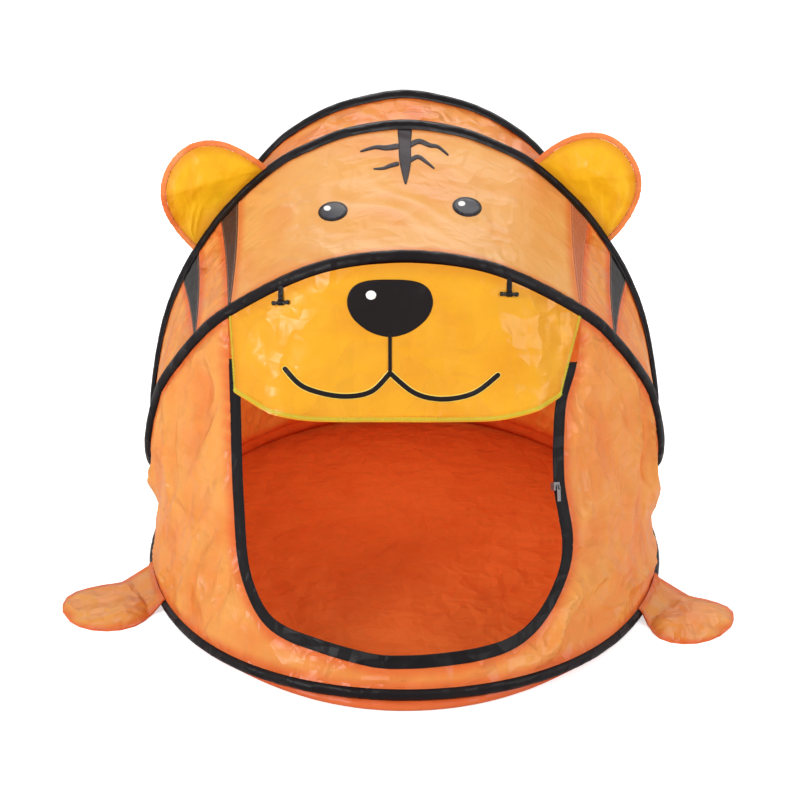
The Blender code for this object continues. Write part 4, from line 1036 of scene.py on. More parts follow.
@dataclass
class Sleeve:
    """A cloth tube round a sprung wire, gathered a little where it is sewn."""

    name: str
    points: Array
    wides: Array
    deeps: Array
    slit: float = 14.0
    outer_corners: int = 18
    inner_corners: int = 8
    gather: float = 0.09
    fullness: float = 1.16
    gather_pitch: float = 0.017
    strip: float = 0.052
    stitch_place: tuple[float, float] = (0.92, 0.52)
    stitch_lean: tuple[float, float] = (0.8, 0.6)

    def section(self) -> Section:
        """A flattened tube with a slit on its inner side.

        Returns:
            Places across and out of the tube.
        """
        slit = math.radians(self.slit)
        made: list[tuple[float, float]] = []
        for inset, count, order in ((0.0, self.outer_corners, 1), (SLEEVE_CLOTH, self.inner_corners, -1)):
            for a in np.linspace(slit, 2 * math.pi - slit, count)[::order]:
                wide, deep = SLEEVE_HALF_WIDTH - inset, SLEEVE_HALF_DEPTH - inset
                made.append((wide * math.sin(a), -deep * math.cos(a)))
        return made

    def build(self, seed: int) -> None:
        """Builds the sleeve with its seeded gathers and the two rows of stitches beside it.

        Args:
            seed: which gathers it gets.
        """
        noise = Creases(seed)
        along = distances(self.points)
        around = np.arange(self.outer_corners) / 4.0
        swell = np.full((len(self.points), self.outer_corners + self.inner_corners), self.fullness)
        crests = noise.ridged(along[:, None] / self.gather_pitch, around[None, :]) - 0.5
        middle = np.sin(np.linspace(0, np.pi, self.outer_corners)) ** 0.5
        swell[:, : self.outer_corners] += self.gather * crests * middle
        mesh = swept(self.name, self.points, self.wides, self.deeps, self.section(), True, swell)
        obj = piece(mesh, "sleeve")
        lines = []
        for sign in (-1, 1):
            wide, deep = (share * self.fullness for share in self.stitch_place)
            beside = self.points + sign * self.wides * SLEEVE_HALF_WIDTH * wide
            line = beside + self.deeps * SLEEVE_HALF_DEPTH * deep
            out = unit(sign * self.wides * self.stitch_lean[0] + self.deeps * self.stitch_lean[1])
            lines.append((np.concatenate([line, line[:1]]), np.concatenate([out, out[:1]])))
        STITCH.set_along(f"{self.name}_stitches", lines, "thread")


# The frame of hoops that everything is sewn to

# Half arches from the apex down to the curl, as shares of half width, reach and rise
VISOR_ROWS = (
    (0.000, 1.000, 1.000), (0.226, 0.982, 0.974), (0.410, 0.922, 0.905), (0.638, 0.763, 0.760),
    (0.756, 0.640, 0.645), (0.885, 0.465, 0.471), (0.936, 0.384, 0.369), (0.981, 0.309, 0.202),
    (0.991, 0.170, 0.070),
)
RIDGE_ROWS = (
    (0.000, 1.000, 1.000), (0.199, 1.000, 0.981), (0.345, 0.990, 0.943), (0.492, 0.960, 0.886),
    (0.669, 0.888, 0.770), (0.791, 0.818, 0.654), (0.882, 0.750, 0.536), (0.948, 0.688, 0.400),
    (0.995, 0.638, 0.217), (1.000, 0.600, 0.125), (0.991, 0.400, 0.042),
)
CREST_ROWS = (
    (0.000, 1.000, 1.000), (0.172, 1.000, 0.981), (0.313, 0.990, 0.948), (0.447, 0.970, 0.893),
    (0.539, 0.950, 0.836), (0.690, 0.890, 0.710), (0.800, 0.820, 0.580), (0.890, 0.740, 0.440),
    (0.950, 0.660, 0.300), (0.985, 0.560, 0.160), (0.985, 0.380, 0.050),
)


@dataclass
class Frame:
    """The three hoops of the tent, read at a number of stations."""

    density: int
    ring_half_width: float = 0.4873
    ring_half_length: float = 0.660
    ring_side_height: float = CLOTH + BUTT_GAP + SLEEVE_HALF_WIDTH
    ring_end_height: float = 0.0280
    ring_lift_power: float = 4.0
    ring_side_steps: int = 5
    front_half_width: float = 0.478
    front_curl: tuple[float, float] = (-0.060, 0.180)
    visor_apex: tuple[float, float] = (-0.360, 0.676)
    ridge_apex: tuple[float, float] = (0.020, 0.820)
    rear_half_width: float = 0.470
    rear_curl: tuple[float, float] = (0.215, 0.185)
    rump_apex: tuple[float, float] = (0.490, 0.640)
    crest_apex: tuple[float, float] = (0.130, 0.855)

    def __post_init__(self) -> None:
        """Builds the hoops' stations."""
        self.front = Hoop(
            "front_loop",
            HalfArch(VISOR_ROWS, self.front_half_width, self.front_curl, self.visor_apex),
            HalfArch(RIDGE_ROWS, self.front_half_width, self.front_curl, self.ridge_apex),
            VISOR_SEAMS,
            RIDGE_SEAMS,
        )
        self.rear = Hoop(
            "rear_loop",
            HalfArch(VISOR_ROWS, self.rear_half_width, self.rear_curl, self.rump_apex),
            HalfArch(CREST_ROWS, self.rear_half_width, self.rear_curl, self.crest_apex),
            EVEN_SEAMS,
            RIDGE_SEAMS,
        )
        self.visor, self.ridge = self.front.arches(self.density)
        self.rump, self.crest = self.rear.arches(self.density)
        self.ring = self.ring_stations()

    def ring_at(self, angles: Array) -> Array:
        """Points of the base ring, an ellipse that lifts a little at the front and the rear.

        Args:
            angles: angles round the ring from +X.

        Returns:
            The points.
        """
        c, s = np.cos(angles), np.sin(angles)
        lift = (self.ring_end_height - self.ring_side_height) * np.abs(s) ** self.ring_lift_power
        x, y = self.ring_half_width * c, self.ring_half_length * s
        return np.stack([x, y, self.ring_side_height + lift], axis=-1)

    def ring_angle(self, y: float) -> float:
        """The angle on the right-hand side where the ring passes a place along Y."""
        return math.asin(y / self.ring_half_length)

    def ring_stations(self) -> Arch:
        """The ring's stations in four stretches that start and end below the curls.

        Returns:
            The stations once round.
        """
        front, rear = self.ring_angle(self.front_curl[0]), self.ring_angle(self.rear_curl[0])
        even = np.linspace(0, 1, self.ring_side_steps * self.density + 1)
        stretches = (
            (-math.pi - front, front, full_shares(VISOR_SEAMS, self.density)),
            (front, rear, even),
            (rear, math.pi - rear, full_shares(EVEN_SEAMS, self.density)),
            (math.pi - rear, math.pi - front, even),
        )
        pieces = [at_shares(self.ring_at(np.linspace(start, end, 401)), s) for start, end, s in stretches]
        self.starts = np.cumsum([0] + [len(p) - 1 for p in pieces])
        points = np.concatenate([p[:-1] for p in pieces])
        steps = unit(np.roll(points, -1, axis=0) - points)
        tangents = unit(steps + np.roll(steps, 1, axis=0))
        outs = unit(np.cross(tangents, -DOWN))
        return Arch(points, tangents, outs, np.cross(outs, tangents))

    def foot(self, stretch: int) -> Array:
        """The line above one stretch of the ring's sleeve where a wall is sewn to it."""
        top = np.concatenate([self.ring.edge(1)] * 2)
        return top[self.starts[stretch] : self.starts[stretch + 1] + 1]

    def sleeves(self) -> None:
        """Builds the three sleeves."""
        ring = self.ring
        Sleeve("base_ring_sleeve", ring.points, ring.outers, ring.normals, fullness=1.0).build(21)
        for hoop, first, second, seed, full in (
            (self.front, self.visor, self.ridge, 22, 1.16),
            (self.rear, self.rump, self.crest, 23, 1.45),
        ):
            rows = [
                np.concatenate([getattr(first, kind), getattr(second, kind)[-2:0:-1]])
                for kind in ("points", "outers", "normals")
            ]
            Sleeve(f"{hoop.name}_sleeve", *rows, fullness=full).build(seed)


# Panels


def edge_tape(
    name: str, edge: Array, towards: Array, reach: float = 0.011, lift: float = 0.0022, rows: int = 5
) -> None:
    """Sews a strip of the sleeve's black cloth over the edge of the panels beside a hoop.

    Args:
        name: the strip's name.
        edge: the panels' edge at the sleeve.
        towards: a row of the same panels further in.
        reach: how far onto the panels it goes.
        lift: how far over them it lies.
        rows: how many steps lie across it.
    """
    # Where the panels run to a point the strip would have no width
    spans = np.linalg.norm(towards - edge, axis=1)
    wide = spans > LEAST_SPAN * spans.max()
    edge = edge[wide]
    inwards = unit(towards[wide] - edge)
    out = facing(unit(np.cross(np.gradient(edge, axis=0), inwards)), edge - CORE)
    grid = np.array([edge + inwards * reach * k / rows + out * lift for k in range(rows + 1)])
    sheet = Sheet(grid, SLEEVE_CLOTH)
    small = {"crinkle": 0.0007, "crinkle_size": 0.012, "pucker": 0.0008, "pucker_reach": 0.01}
    sheet.wrinkle(Drape(63, 0.0, fold=0.0, **small))
    cloth_piece(sheet, name, "sleeve")


@dataclass
class Canopy:
    """The cloth between the visor and the ridge: the forehead, two nets a side, and the panels between them."""

    tent: Frame
    rows: int = 84
    sag: float = 0.006
    stitch_gap: float = 0.003
    stitch_lift: float = 0.0009

    def build(self) -> Any:
        """Builds the nine panels and the stitches that join them, and gives the forehead.

        Returns:
            The forehead.
        """
        grid = lofted(self.tent.visor.edge(-1), self.tent.ridge.edge(-1), self.rows, self.sag)
        half = (grid.shape[1] - 1) // 2
        stops = np.cumsum(SEAM_STEPS) * self.tent.density
        forehead = Sheet(grid[:, half - stops[0] : half + stops[0] + 1])
        folds = {"fold": 0.0030, "fold_width": 0.06, "fold_angle": 40}
        forehead.wrinkle(Drape(31, 0.0022, **folds, crinkle=0.0007, crinkle_size=0.05))
        made = cloth_piece(forehead, "forehead_panel", "face")
        narrow = {"fold_width": 0.018, "fold_length": 0.09}
        panels = (
            ("inner_vent", "painted_shaded_net", Drape(32, fold_angle=35, fold=0.0045, **narrow)),
            ("cheek_panel", "wall", Drape(33, fold_angle=10, fold=0.0030)),
            ("outer_vent", "dark_net", Drape(34, fold_angle=30, fold=0.0035, **narrow)),
            ("side_panel", "wall", Drape(35, fold_angle=-20)),
        )
        for k, (name, finish, drape) in enumerate(panels):
            for side in Side:
                near, far = sorted((half + side.value * stops[k], half + side.value * stops[k + 1]))
                full = f"{name}_{side.word}"
                # The right inner vent's netting gets the painted lit inside, the left one's the painted shaded
                # inside
                seen = "net" if full == "inner_vent_right" else finish
                sheet = Sheet(grid[:, near : far + 1]).wrinkle(drape)
                cloth_piece(sheet, full, seen)
        beside = unit(np.gradient(grid, axis=1))
        out = facing(unit(np.cross(np.gradient(grid, axis=1), np.gradient(grid, axis=0))), grid - CORE)
        seams = []
        for stop in stops[:4]:
            for column in (half - stop, half + stop):
                for step in (-self.stitch_gap, self.stitch_gap):
                    line = grid[:, column] + beside[:, column] * step + out[:, column] * self.stitch_lift
                    seams.append((line[3:-3], out[3:-3, column]))
        STITCH.set_along("canopy_stitches", seams, "pale_thread")
        edge_tape("ridge_front_tape", grid[-1], grid[-4])
        return made


@dataclass
class Cabin:
    """The cloth behind the face: the roof strip, the side walls, the rear canopy and the rear wall."""

    tent: Frame
    roof_station: int = 7
    skirt_steps: int = 2
    canopy_rows: int = 60
    canopy_sag: float = 0.006
    wall_rows: int = 90
    wall_sag: float = 0.012

    def build(self) -> None:
        """Builds the five panels."""
        tent, density = self.tent, self.tent.density
        front, rear = tent.ridge.edge(1), tent.crest.edge(1)
        total = len(front) - 1
        shares = np.linspace(0, 1, tent.ring_side_steps * density + 1)[:, None, None]
        band = front[None] * (1 - shares) + rear[None] * shares
        stop = self.roof_station * density
        edge_tape("ridge_rear_tape", band[0], band[2])
        edge_tape("crest_front_tape", band[-1], band[-3])
        roof = Sheet(band[:, stop : total - stop + 1]).wrinkle(Drape(41, fold_angle=8))
        cloth_piece(roof, "roof_strip", "wall")
        for side, foot, columns in (
            (Side.LEFT, tent.foot(3)[::-1], np.arange(0, stop + 1)),
            (Side.RIGHT, tent.foot(1), np.arange(total, total - stop - 1, -1)),
        ):
            upper = band[:, columns].transpose(1, 0, 2)
            skirt = self.skirt_steps * density * 2
            drop = [foot * (1 - k / skirt) + upper[0] * (k / skirt) for k in range(skirt)]
            sheet = Sheet(np.concatenate([drop, upper])).wrinkle(Drape(42 + side.value, fold_angle=15))
            cloth_piece(sheet, f"side_wall_{side.word}", "wall")
        top = Sheet(lofted(tent.rump.edge(-1), tent.crest.edge(-1), self.canopy_rows, self.canopy_sag))
        top.wrinkle(Drape(45, fold_angle=-10))
        cloth_piece(top, "rear_canopy", "wall")
        wall = Sheet(lofted(tent.rump.edge(1), tent.foot(2)[::-1], self.wall_rows, self.wall_sag))
        wall.wrinkle(Drape(46, fold_angle=18))
        cloth_piece(wall, "rear_wall", "wall")


@dataclass
class Floor:
    """The floor sheet: flat on the ground, turned up at its edge to the underside of the ring's sleeve."""

    tent: Frame
    bulge: float = 0.009
    turn: float = 0.040
    edge_shares: tuple[tuple[float, float, float], ...] = (
        (1.0, 0.0, -3.0), (0.8, 0.02, -1.0), (0.6, 0.06, 0.7), (0.45, 0.25, 1.0), (0.3, 0.50, 1.0),
        (0.15, 0.78, 0.6), (0.0, 1.0, 0.0),
    )
    lay_rows: int = 40
    ground_gap: float = 0.0001
    edge_calm: float = 0.3
    crease_lift: float = 0.0004
    crease_top: float = 0.004
    facing_gap: float = 0.0016
    facing_reach: float = 0.0012

    def build(self) -> None:
        """Builds the sheet with shallow creases that never go below the ground."""
        ring = self.tent.ring.points[::3]
        flat = unit(self.tent.ring.normals[::3] * LEVEL)
        low, high = self.tent.ring_side_height, self.tent.ring_end_height
        ground = CLOTH / 2 + self.ground_gap
        rise = np.maximum(ring[:, 2] - SLEEVE_HALF_WIDTH - BUTT_GAP, ground)
        lift = (ring[:, 2] - low) / (high - low)
        rows = []
        for inset, height, bulge in self.edge_shares:
            out_by = lift * self.bulge * bulge - (1 - lift) * self.turn * inset
            place = ring + flat * out_by[:, None]
            place[:, 2] = ground + (rise - ground) * height
            rows.append(place)
        inner = rows[0]
        laid = [inner * np.array([k / self.lay_rows, k / self.lay_rows, 1.0]) for k in range(self.lay_rows)]
        grid = np.array([*laid, *rows])
        sheet = Sheet(grid, pinned=(False, True, False, False), closed=True)
        sheet.u, sheet.v = grid[..., 0] + 1.0, grid[..., 1] + 1.0
        depth = Drape(51, billow=0.0, crinkle=0.0014, fold=0.003).depth(sheet.u, sheet.v, sheet.seam)
        depth[-len(self.edge_shares) :] *= self.edge_calm
        sheet.grid[..., 2] += np.clip(depth + self.crease_lift, 0.0, self.crease_top)
        obj = piece(sheet.mesh("floor_sheet"), "floor")
        self.ring_facing()

    def ring_facing(self) -> None:
        """Builds the strip of floor cloth that covers the ring's sleeve on the inside of the tent."""
        ring = self.tent.ring
        reach = SLEEVE_HALF_WIDTH * RING_FACING_FULLNESS + self.facing_reach
        rows = []
        for angle in np.radians(np.linspace(-80, 88, 9)):
            inset = SLEEVE_HALF_DEPTH * RING_FACING_FULLNESS * math.cos(angle) + self.facing_gap
            line = ring.points[::2] - ring.normals[::2] * inset
            rows.append(line + ring.outers[::2] * reach * math.sin(angle))
        grid = np.array(rows)
        grid[..., 2] = np.maximum(grid[..., 2], self.facing_gap)
        sheet = Sheet(grid, pinned=(True, True, False, False), closed=True)
        sheet.wrinkle(Drape(52, billow=0.0, fold=0.0, crinkle=0.0006, pucker=0.0008))
        obj = piece(sheet.mesh("ring_facing"), "floor")


@dataclass
class WallSurface:
    """The front wall's surface between the visor and the ring, read by station and height or by X and Z."""

    top: Array
    bottom: Array
    waist: float = 0.012
    rounds: int = 14
    halvings: int = 24

    def point(self, station: Array, v: Array) -> Array:
        """Places of the wall, by stations from 0 to 1 along its edges and shares of the way down.

        Args:
            station: where along the edges.
            v: how far down.

        Returns:
            The places.
        """
        at = np.clip(station, 0, 1) * (len(self.top) - 1)
        known = np.arange(len(self.top))
        top, bottom = read_at(at, known, self.top), read_at(at, known, self.bottom)
        flat = top * (1 - v[..., None]) + bottom * v[..., None]
        return flat + unit(CORE - flat) * self.waist * np.sin(np.pi * np.clip(v, 0, 1))[..., None]

    def place(self, x: Any, z: Any) -> Array:
        """The places of the wall at places along X and Z.

        Args:
            x: places along X.
            z: heights.

        Returns:
            The places.
        """
        x, z = np.broadcast_arrays(np.asarray(x, float), np.asarray(z, float))
        v = np.full(x.shape, 0.5)
        station = v
        for _ in range(self.rounds):
            low, high = np.zeros(x.shape), np.ones(x.shape)
            for _ in range(self.halvings):
                station = (low + high) / 2
                short = self.point(station, v)[..., 0] < x
                low, high = np.where(short, station, low), np.where(short, high, station)
            rise = self.point(station, v * 0)[..., 2] - self.point(station, v * 0 + 1)[..., 2]
            v = v + (self.point(station, v)[..., 2] - z) / rise
        return self.point(station, v)

    def depth(self, x: Any, z: Any) -> Array:
        """How far along Y the wall is at places along X and Z."""
        return self.place(x, z)[..., 1]


@dataclass
class FrontWall:
    """The wall round the door, the binding on the door's edge and the half of the zip on it."""

    tent: Frame
    surface: WallSurface
    door_half_width: float = 0.280
    sill_height: float = 0.085
    side_height: float = 0.430
    tape_width: float = 0.018
    tape_thickness: float = 0.003
    tape_top: float = 0.490
    rows: int = 96
    cut_depths: tuple[float, float] = (-0.8, 0.5)
    shares: tuple[tuple[float, float], ...] = (
        (-1.030, 1.850), (-1.010, 1.250), (-1.000, 0.980), (-0.987, 0.668), (-0.973, 0.500), (-0.948, 0.290),
        (-0.897, 0.170), (-0.813, 0.085), (-0.700, 0.050), (-0.540, 0.036), (-0.349, 0.018), (-0.157, 0.000),
        (0.030, 0.000), (0.250, 0.004), (0.450, 0.008), (0.614, 0.022), (0.744, 0.064), (0.850, 0.142),
        (0.930, 0.250), (0.948, 0.359), (0.926, 0.474), (0.900, 0.588), (0.892, 0.704), (0.896, 0.850),
        (0.915, 1.000), (1.000, 1.250), (1.010, 1.850),
    )

    def outline(self, grow: float, steps: int = 10) -> Array:
        """The door's edge in X and Z from the top left round the sill, moved outwards, with samples for each span.

        Args:
            grow: how far outwards.
            steps: samples for each span.

        Returns:
            The points.
        """
        height = self.side_height - self.sill_height
        knots = np.array([(a * self.door_half_width, self.sill_height + b * height) for a, b in self.shares])
        points = smooth_line(knots.tolist(), steps)
        along = unit(np.gradient(points, axis=0))
        return points + np.stack([along[:, 1], -along[:, 0]], axis=1) * grow

    def build(self) -> None:
        """Builds the wall, cuts the door, and adds the tape, its teeth and its stitches."""
        s, v = np.meshgrid(np.linspace(0, 1, len(self.surface.top)), np.linspace(0, 1, self.rows + 1))
        sheet = Sheet(self.surface.point(s, v))
        for x, z in self.outline(self.tape_width)[::2]:
            sheet.seam = np.minimum(sheet.seam, np.hypot(sheet.grid[..., 0] - x, sheet.grid[..., 2] - z))
        folds = {"fold": 0.0180, "fold_width": 0.050, "fold_length": 0.15, "fold_angle": 32}
        small = {"crinkle": 0.0030, "crinkle_size": 0.050, "pucker": 0.0060, "pucker_pitch": 0.022}
        sheet.wrinkle(Drape(61, 0.0050, **folds, **small))
        obj = add_object("front_wall_uncut", sheet.mesh("front_wall"))
        cutter = self.cutter(self.outline(self.tape_width + BUTT_GAP, 4))
        modifier = obj.modifiers.new("door", "BOOLEAN")
        modifier.object, modifier.operation, modifier.solver = cutter, "DIFFERENCE", "EXACT"
        cut = tidy(applied(obj, "front_wall"))
        bpy.data.objects.remove(cutter)
        wall = piece(cut, "wall", stands_for=["front_wall_left", "front_wall_right"])
        area = sum(face.area for face in cut.polygons) / 2
        width, length = sheet.sizes()[0]
        area = max(area, LEAST_FILL * width * length)
        self.tape()

    def cutter(self, outline: Array) -> Any:
        """A hidden prism along Y inside an outline in X and Z.

        Args:
            outline: the prism's outline.

        Returns:
            The prism.
        """
        count = len(outline)
        places = np.array([(x, y, z) for y in self.cut_depths for x, z in outline])
        faces = [(k, (k + 1) % count, count + (k + 1) % count, count + k) for k in range(count)]
        faces += [tuple(range(count))[::-1], tuple(range(count, 2 * count))]
        obj = add_object("door_cutter", face_out(make_mesh("door_cutter", places, faces)))
        obj.hide_render = True
        return obj

    def tape(self) -> None:
        """Builds the tape, the zip's teeth on its inner edge and the stitches along it."""
        inner, outer = self.outline(0.0, 16), self.outline(self.tape_width, 16)
        kept = inner[:, 1] < self.tape_top
        shares = np.linspace(0, 1, 9)[:, None, None]
        flat = inner[kept][None] * (1 - shares) + outer[kept][None] * shares
        sheet = Sheet(self.surface.place(flat[..., 0], flat[..., 1]), self.tape_thickness, NO_SEAMS)
        sheet.seam = np.minimum(sheet.v, sheet.v[-1:] - sheet.v)
        small = {"crinkle": 0.0006, "crinkle_size": 0.010, "pucker": 0.0009, "pucker_reach": 0.01}
        sheet.wrinkle(Drape(62, 0.0, fold=0.0, **small))
        cloth_piece(sheet, "door_zip_tape", "sleeve")
        out = facing(sheet.normals(), sheet.grid - CORE)
        inwards = unit(sheet.flat[0] - sheet.flat[2])
        TOOTH.set_along("zip_teeth", [(sheet.flat[0] + inwards * 2 * THREAD_LIFT, inwards)], "coil")
        rise = self.tape_thickness / 2 + 2 * THREAD_LIFT
        lines = [(sheet.grid[row] + out[row] * rise, out[row]) for row in (2, 7)]
        STITCH.set_along("tape_stitches", lines, "thread")


# The muzzle and its prints


@dataclass
class PrintView:
    """The place from which the face's prints are laid out: 3.3 m in front of the tent, 20 degrees up.

    An outline's numbers are steps of 1.92 mm on a plane square to the view through the tent's middle.
    """

    target: tuple[float, float, float] = (-0.0085, 0.0, 0.2933)
    distance: float = 3.3
    elevation: float = 20.0
    steps_away: float = 1719.0

    def axes(self) -> tuple[Array, Array, Array]:
        """The directions to the right, up and away from the eye.

        Returns:
            Three unit vectors.
        """
        a = math.radians(self.elevation)
        return (
            np.array([1.0, 0.0, 0.0]),
            np.array([0.0, math.sin(a), math.cos(a)]),
            np.array([0.0, math.cos(a), -math.sin(a)]),
        )

    def eye(self) -> Array:
        """The eye's place."""
        return np.array(self.target) - self.axes()[2] * self.distance

    def rays(self, places: Array) -> Array:
        """The direction of each place of an outline from the eye."""
        right, up, away = self.axes()
        return unit(places[:, :1] * right + places[:, 1:2] * up + self.steps_away * away)


# Steps between two points of a drawn line, round its end, and between two points of a loop
LINE_STEPS, END_STEPS, LOOP_STEPS = 12, 6, 6


def inside(outline: Array, points: Array) -> Array:
    """Tells which points lie within a closed outline.

    Args:
        outline: the outline.
        points: the points.

    Returns:
        Whether each lies within.
    """
    x, y = points[:, 0], points[:, 1]
    found = np.zeros(len(points), bool)
    for (x0, y0), (x1, y1) in zip(outline, np.roll(outline, -1, axis=0)):
        crosses = (y0 > y) != (y1 > y)
        if crosses.any():
            edge = x0 + (y - y0) / (y1 - y0 if y1 != y0 else 1e-9) * (x1 - x0)
            found ^= crosses & (x < edge)
    return found


def ellipse(x: float, y: float, wide: float, high: float, tilt: float = 0.0, steps: int = 40) -> Array:
    """An oval outline from its middle, half sizes and turn in degrees.

    Args:
        x: its middle to the right.
        y: its middle upwards.
        wide: half its width.
        high: half its height.
        tilt: its turn.
        steps: its points.

    Returns:
        The outline.
    """
    a = np.linspace(0, 2 * np.pi, steps, endpoint=False)
    c, s = math.cos(math.radians(tilt)), math.sin(math.radians(tilt))
    u, w = wide * np.cos(a), high * np.sin(a)
    return np.stack([x + u * c - w * s, y + u * s + w * c], axis=1)


def stroke(
    points: Sequence[Sequence[float]], half_width: float, tail: float = 1.0, taper: float = 1.6
) -> Array:
    """The closed outline of a drawn line with round ends, whose half width falls to a share of it at the tail.

    Args:
        points: the line.
        half_width: its half width at the start.
        tail: the share left at the tail.
        taper: how late it narrows.

    Returns:
        The outline.
    """
    line = smooth_line(points, LINE_STEPS)
    along = unit(np.gradient(line, axis=0))
    half = half_width * (1 + (tail - 1) * np.linspace(0, 1, len(line)) ** taper)[:, None]
    beside = np.stack([-along[:, 1], along[:, 0]], axis=1) * half
    turn = np.linspace(np.pi / 2, -np.pi / 2, END_STEPS + 1)[1:-1, None]
    end = line[-1] + beside[-1] * np.sin(turn) + along[-1] * half[-1] * np.cos(turn)
    start = line[0] - beside[0] * np.sin(turn) - along[0] * half[0] * np.cos(turn)
    return np.concatenate([line + beside, end, (line - beside)[::-1], start])


@dataclass
class Print:
    """A flat patch of ink on a sheet, laid out from the front and pressed onto the cloth."""

    name: str
    outline: Array
    finish: str
    lift: float = 0.0005
    pitch: float = 1.5
    ink: float = 0.0002
    fewest: int = 12
    rim_gap: float = 0.6

    def mesh(self, cloth: BVHTree, view: PrintView) -> bpy.types.Mesh:
        """The patch's closed mesh, pressed onto the cloth along the rays from the view's eye.

        Args:
            cloth: the cloth's faces.
            view: where it is laid out from.

        Returns:
            The mesh.
        """
        ring = np.concatenate([self.outline, self.outline[:1]])
        steps = distances(ring)
        count = max(int(steps[-1] / self.pitch), self.fewest)
        rim = read_at(np.linspace(0, steps[-1], count, endpoint=False), steps, ring)
        low, high = rim.min(axis=0), rim.max(axis=0)
        spaced = [np.arange(low[k], high[k], self.pitch) for k in range(2)]
        grid = np.stack(np.meshgrid(*spaced), axis=-1).reshape(-1, 2)
        grid = grid[inside(rim, grid)]
        near = np.array([np.hypot(*(rim - p).T).min() for p in grid]) if len(grid) else np.zeros(0)
        places = np.concatenate([rim, grid[near > self.pitch * self.rim_gap]])
        found = delaunay_2d_cdt([Vector(p) for p in places], [], [list(range(count))], 1, 1e-5)
        flat = np.array([tuple(v) for v in found[0]])
        eye = Vector(view.eye())
        work = bmesh.new()
        verts = []
        for ray in view.rays(flat):
            place, normal, _, _ = cloth.ray_cast(eye, Vector(ray))
            if place is None:
                verts.append(None)
                continue
            off = normal if normal.dot(Vector(ray)) < 0 else -normal
            verts.append(work.verts.new(place + off * self.lift))
        for face in found[2]:
            corners = [verts[k] for k in face]
            if None not in corners:
                work.faces.new(corners)
        bmesh.ops.recalc_face_normals(work, faces=work.faces)
        if sum(f.normal.dot(Vector(view.axes()[2])) for f in work.faces) > 0:
            bmesh.ops.reverse_faces(work, faces=work.faces)
        bmesh.ops.solidify(work, geom=list(work.faces), thickness=self.ink)
        mesh = bpy.data.meshes.new(self.name)
        work.to_mesh(mesh)
        work.free()
        mesh.shade_smooth()
        return mesh


def faces_of(obj: Any) -> BVHTree:
    """The faces of a piece, ready to be met by rays."""
    mesh = obj.data
    return BVHTree.FromPolygons([v.co for v in mesh.vertices], [tuple(f.vertices) for f in mesh.polygons])


# Outlines and lines of the face, in PrintView's steps to the right and up
BROW_WEDGE = (
    (-2.0, 271.0), (5.0, 272.0), (11.5, 271.0), (11.0, 257.0), (11.0, 240.0), (9.5, 228.0), (5.6, 215.0),
    (1.5, 228.0), (-1.0, 242.0), (-1.5, 257.0),
)
NOSE = (
    (-53.0, 98.0), (-48.0, 112.0), (-34.0, 119.0), (-10.0, 120.5), (14.0, 119.0), (28.0, 112.0),
    (33.0, 98.0), (28.0, 83.0), (15.0, 71.0), (2.0, 65.0), (-10.0, 63.0), (-22.0, 65.0), (-35.0, 71.0),
    (-48.0, 83.0),
)
BROW_BARS = (
    ("left_upper", ((-3, 253.5), (-14, 252), (-25, 252.5), (-39, 248.5)), 3.0),
    ("left_lower", ((-3, 236), (-10, 234), (-17, 231.5), (-26, 231)), 2.4),
    ("right_upper", ((10, 255), (19, 258.5), (30, 254.5), (38, 253), (48, 245)), 2.9),
    ("right_lower", ((10, 239.5), (18, 243), (26, 238), (34, 231.5)), 2.5),
)
NOSE_GLINT = (-29.0, 105.0, 5.2, 4.6)
LIP = ((-10, 66), (-10, 46), (-10, 26))
SMILE_LEFT = ((-115, 31), (-96, 13), (-61, 4), (-30, 8), (-10, 27))
SMILE_RIGHT = ((-10, 27), (15, 7), (43, 1), (74, 7), (98, 25))
EYES = ((Side.LEFT, -67.0, 188.5), (Side.RIGHT, 67.0, 193.0))


@dataclass
class Face:
    """The animal's eyes and brow stripes on the forehead, and its nose and mouth on the muzzle."""

    view: PrintView = field(default_factory=PrintView)
    bar_tail: float = 0.35
    eye_tilt: float = -8
    rim_size: tuple[float, float] = (14.8, 9.8)
    eye_size: tuple[float, float] = (12.6, 7.9)
    glint_place: tuple[float, float] = (-5.5, 2.8)
    glint_size: tuple[float, float] = (3.6, 2.5)

    def brow(self) -> list[Print]:
        """The prints on the forehead.

        Returns:
            The prints.
        """
        bars = ((f"brow_bar_{place}", stroke(line, half, self.bar_tail)) for place, line, half in BROW_BARS)
        made = [Print(name, outline, "stripe_ink") for name, outline in bars]
        made.append(Print("brow_wedge", smooth_loop(BROW_WEDGE, LOOP_STEPS), "stripe_ink", 0.0007))
        for side, x, y in EYES:
            tilt = self.eye_tilt * side.value
            made.append(Print(f"eye_rim_{side.word}", ellipse(x, y, *self.rim_size, tilt), "ink"))
            made.append(Print(f"eye_{side.word}", ellipse(x, y, *self.eye_size, tilt), "eye_ink", 0.0009))
            glint = ellipse(x + self.glint_place[0], y + self.glint_place[1], *self.glint_size)
            made.append(Print(f"eye_glint_{side.word}", glint, "white_ink", 0.0013, 0.9))
        return made

    def mouth(self) -> list[Print]:
        """The prints on the muzzle.

        Returns:
            The prints.
        """
        rows = (
            ("smile_edge_left", SMILE_LEFT, 3.4, "pale_ink", 0.0005, 1.8),
            ("smile_edge_right", SMILE_RIGHT, 3.4, "pale_ink", 0.0007, 1.8),
            ("smile_left", SMILE_LEFT, 2.5, "ink", 0.0010, 1.3),
            ("smile_right", SMILE_RIGHT, 2.5, "ink", 0.0012, 1.3),
            ("lip_line", LIP, 1.8, "ink", 0.0014, 1.3),
        )
        made = [Print(name, stroke(line, half), *look) for name, line, half, *look in rows]
        made.append(Print("nose", smooth_loop(NOSE, LOOP_STEPS), "ink", 0.0006))
        made.append(Print("nose_glint", ellipse(*NOSE_GLINT), "white_ink", 0.0010, 1.2))
        return made


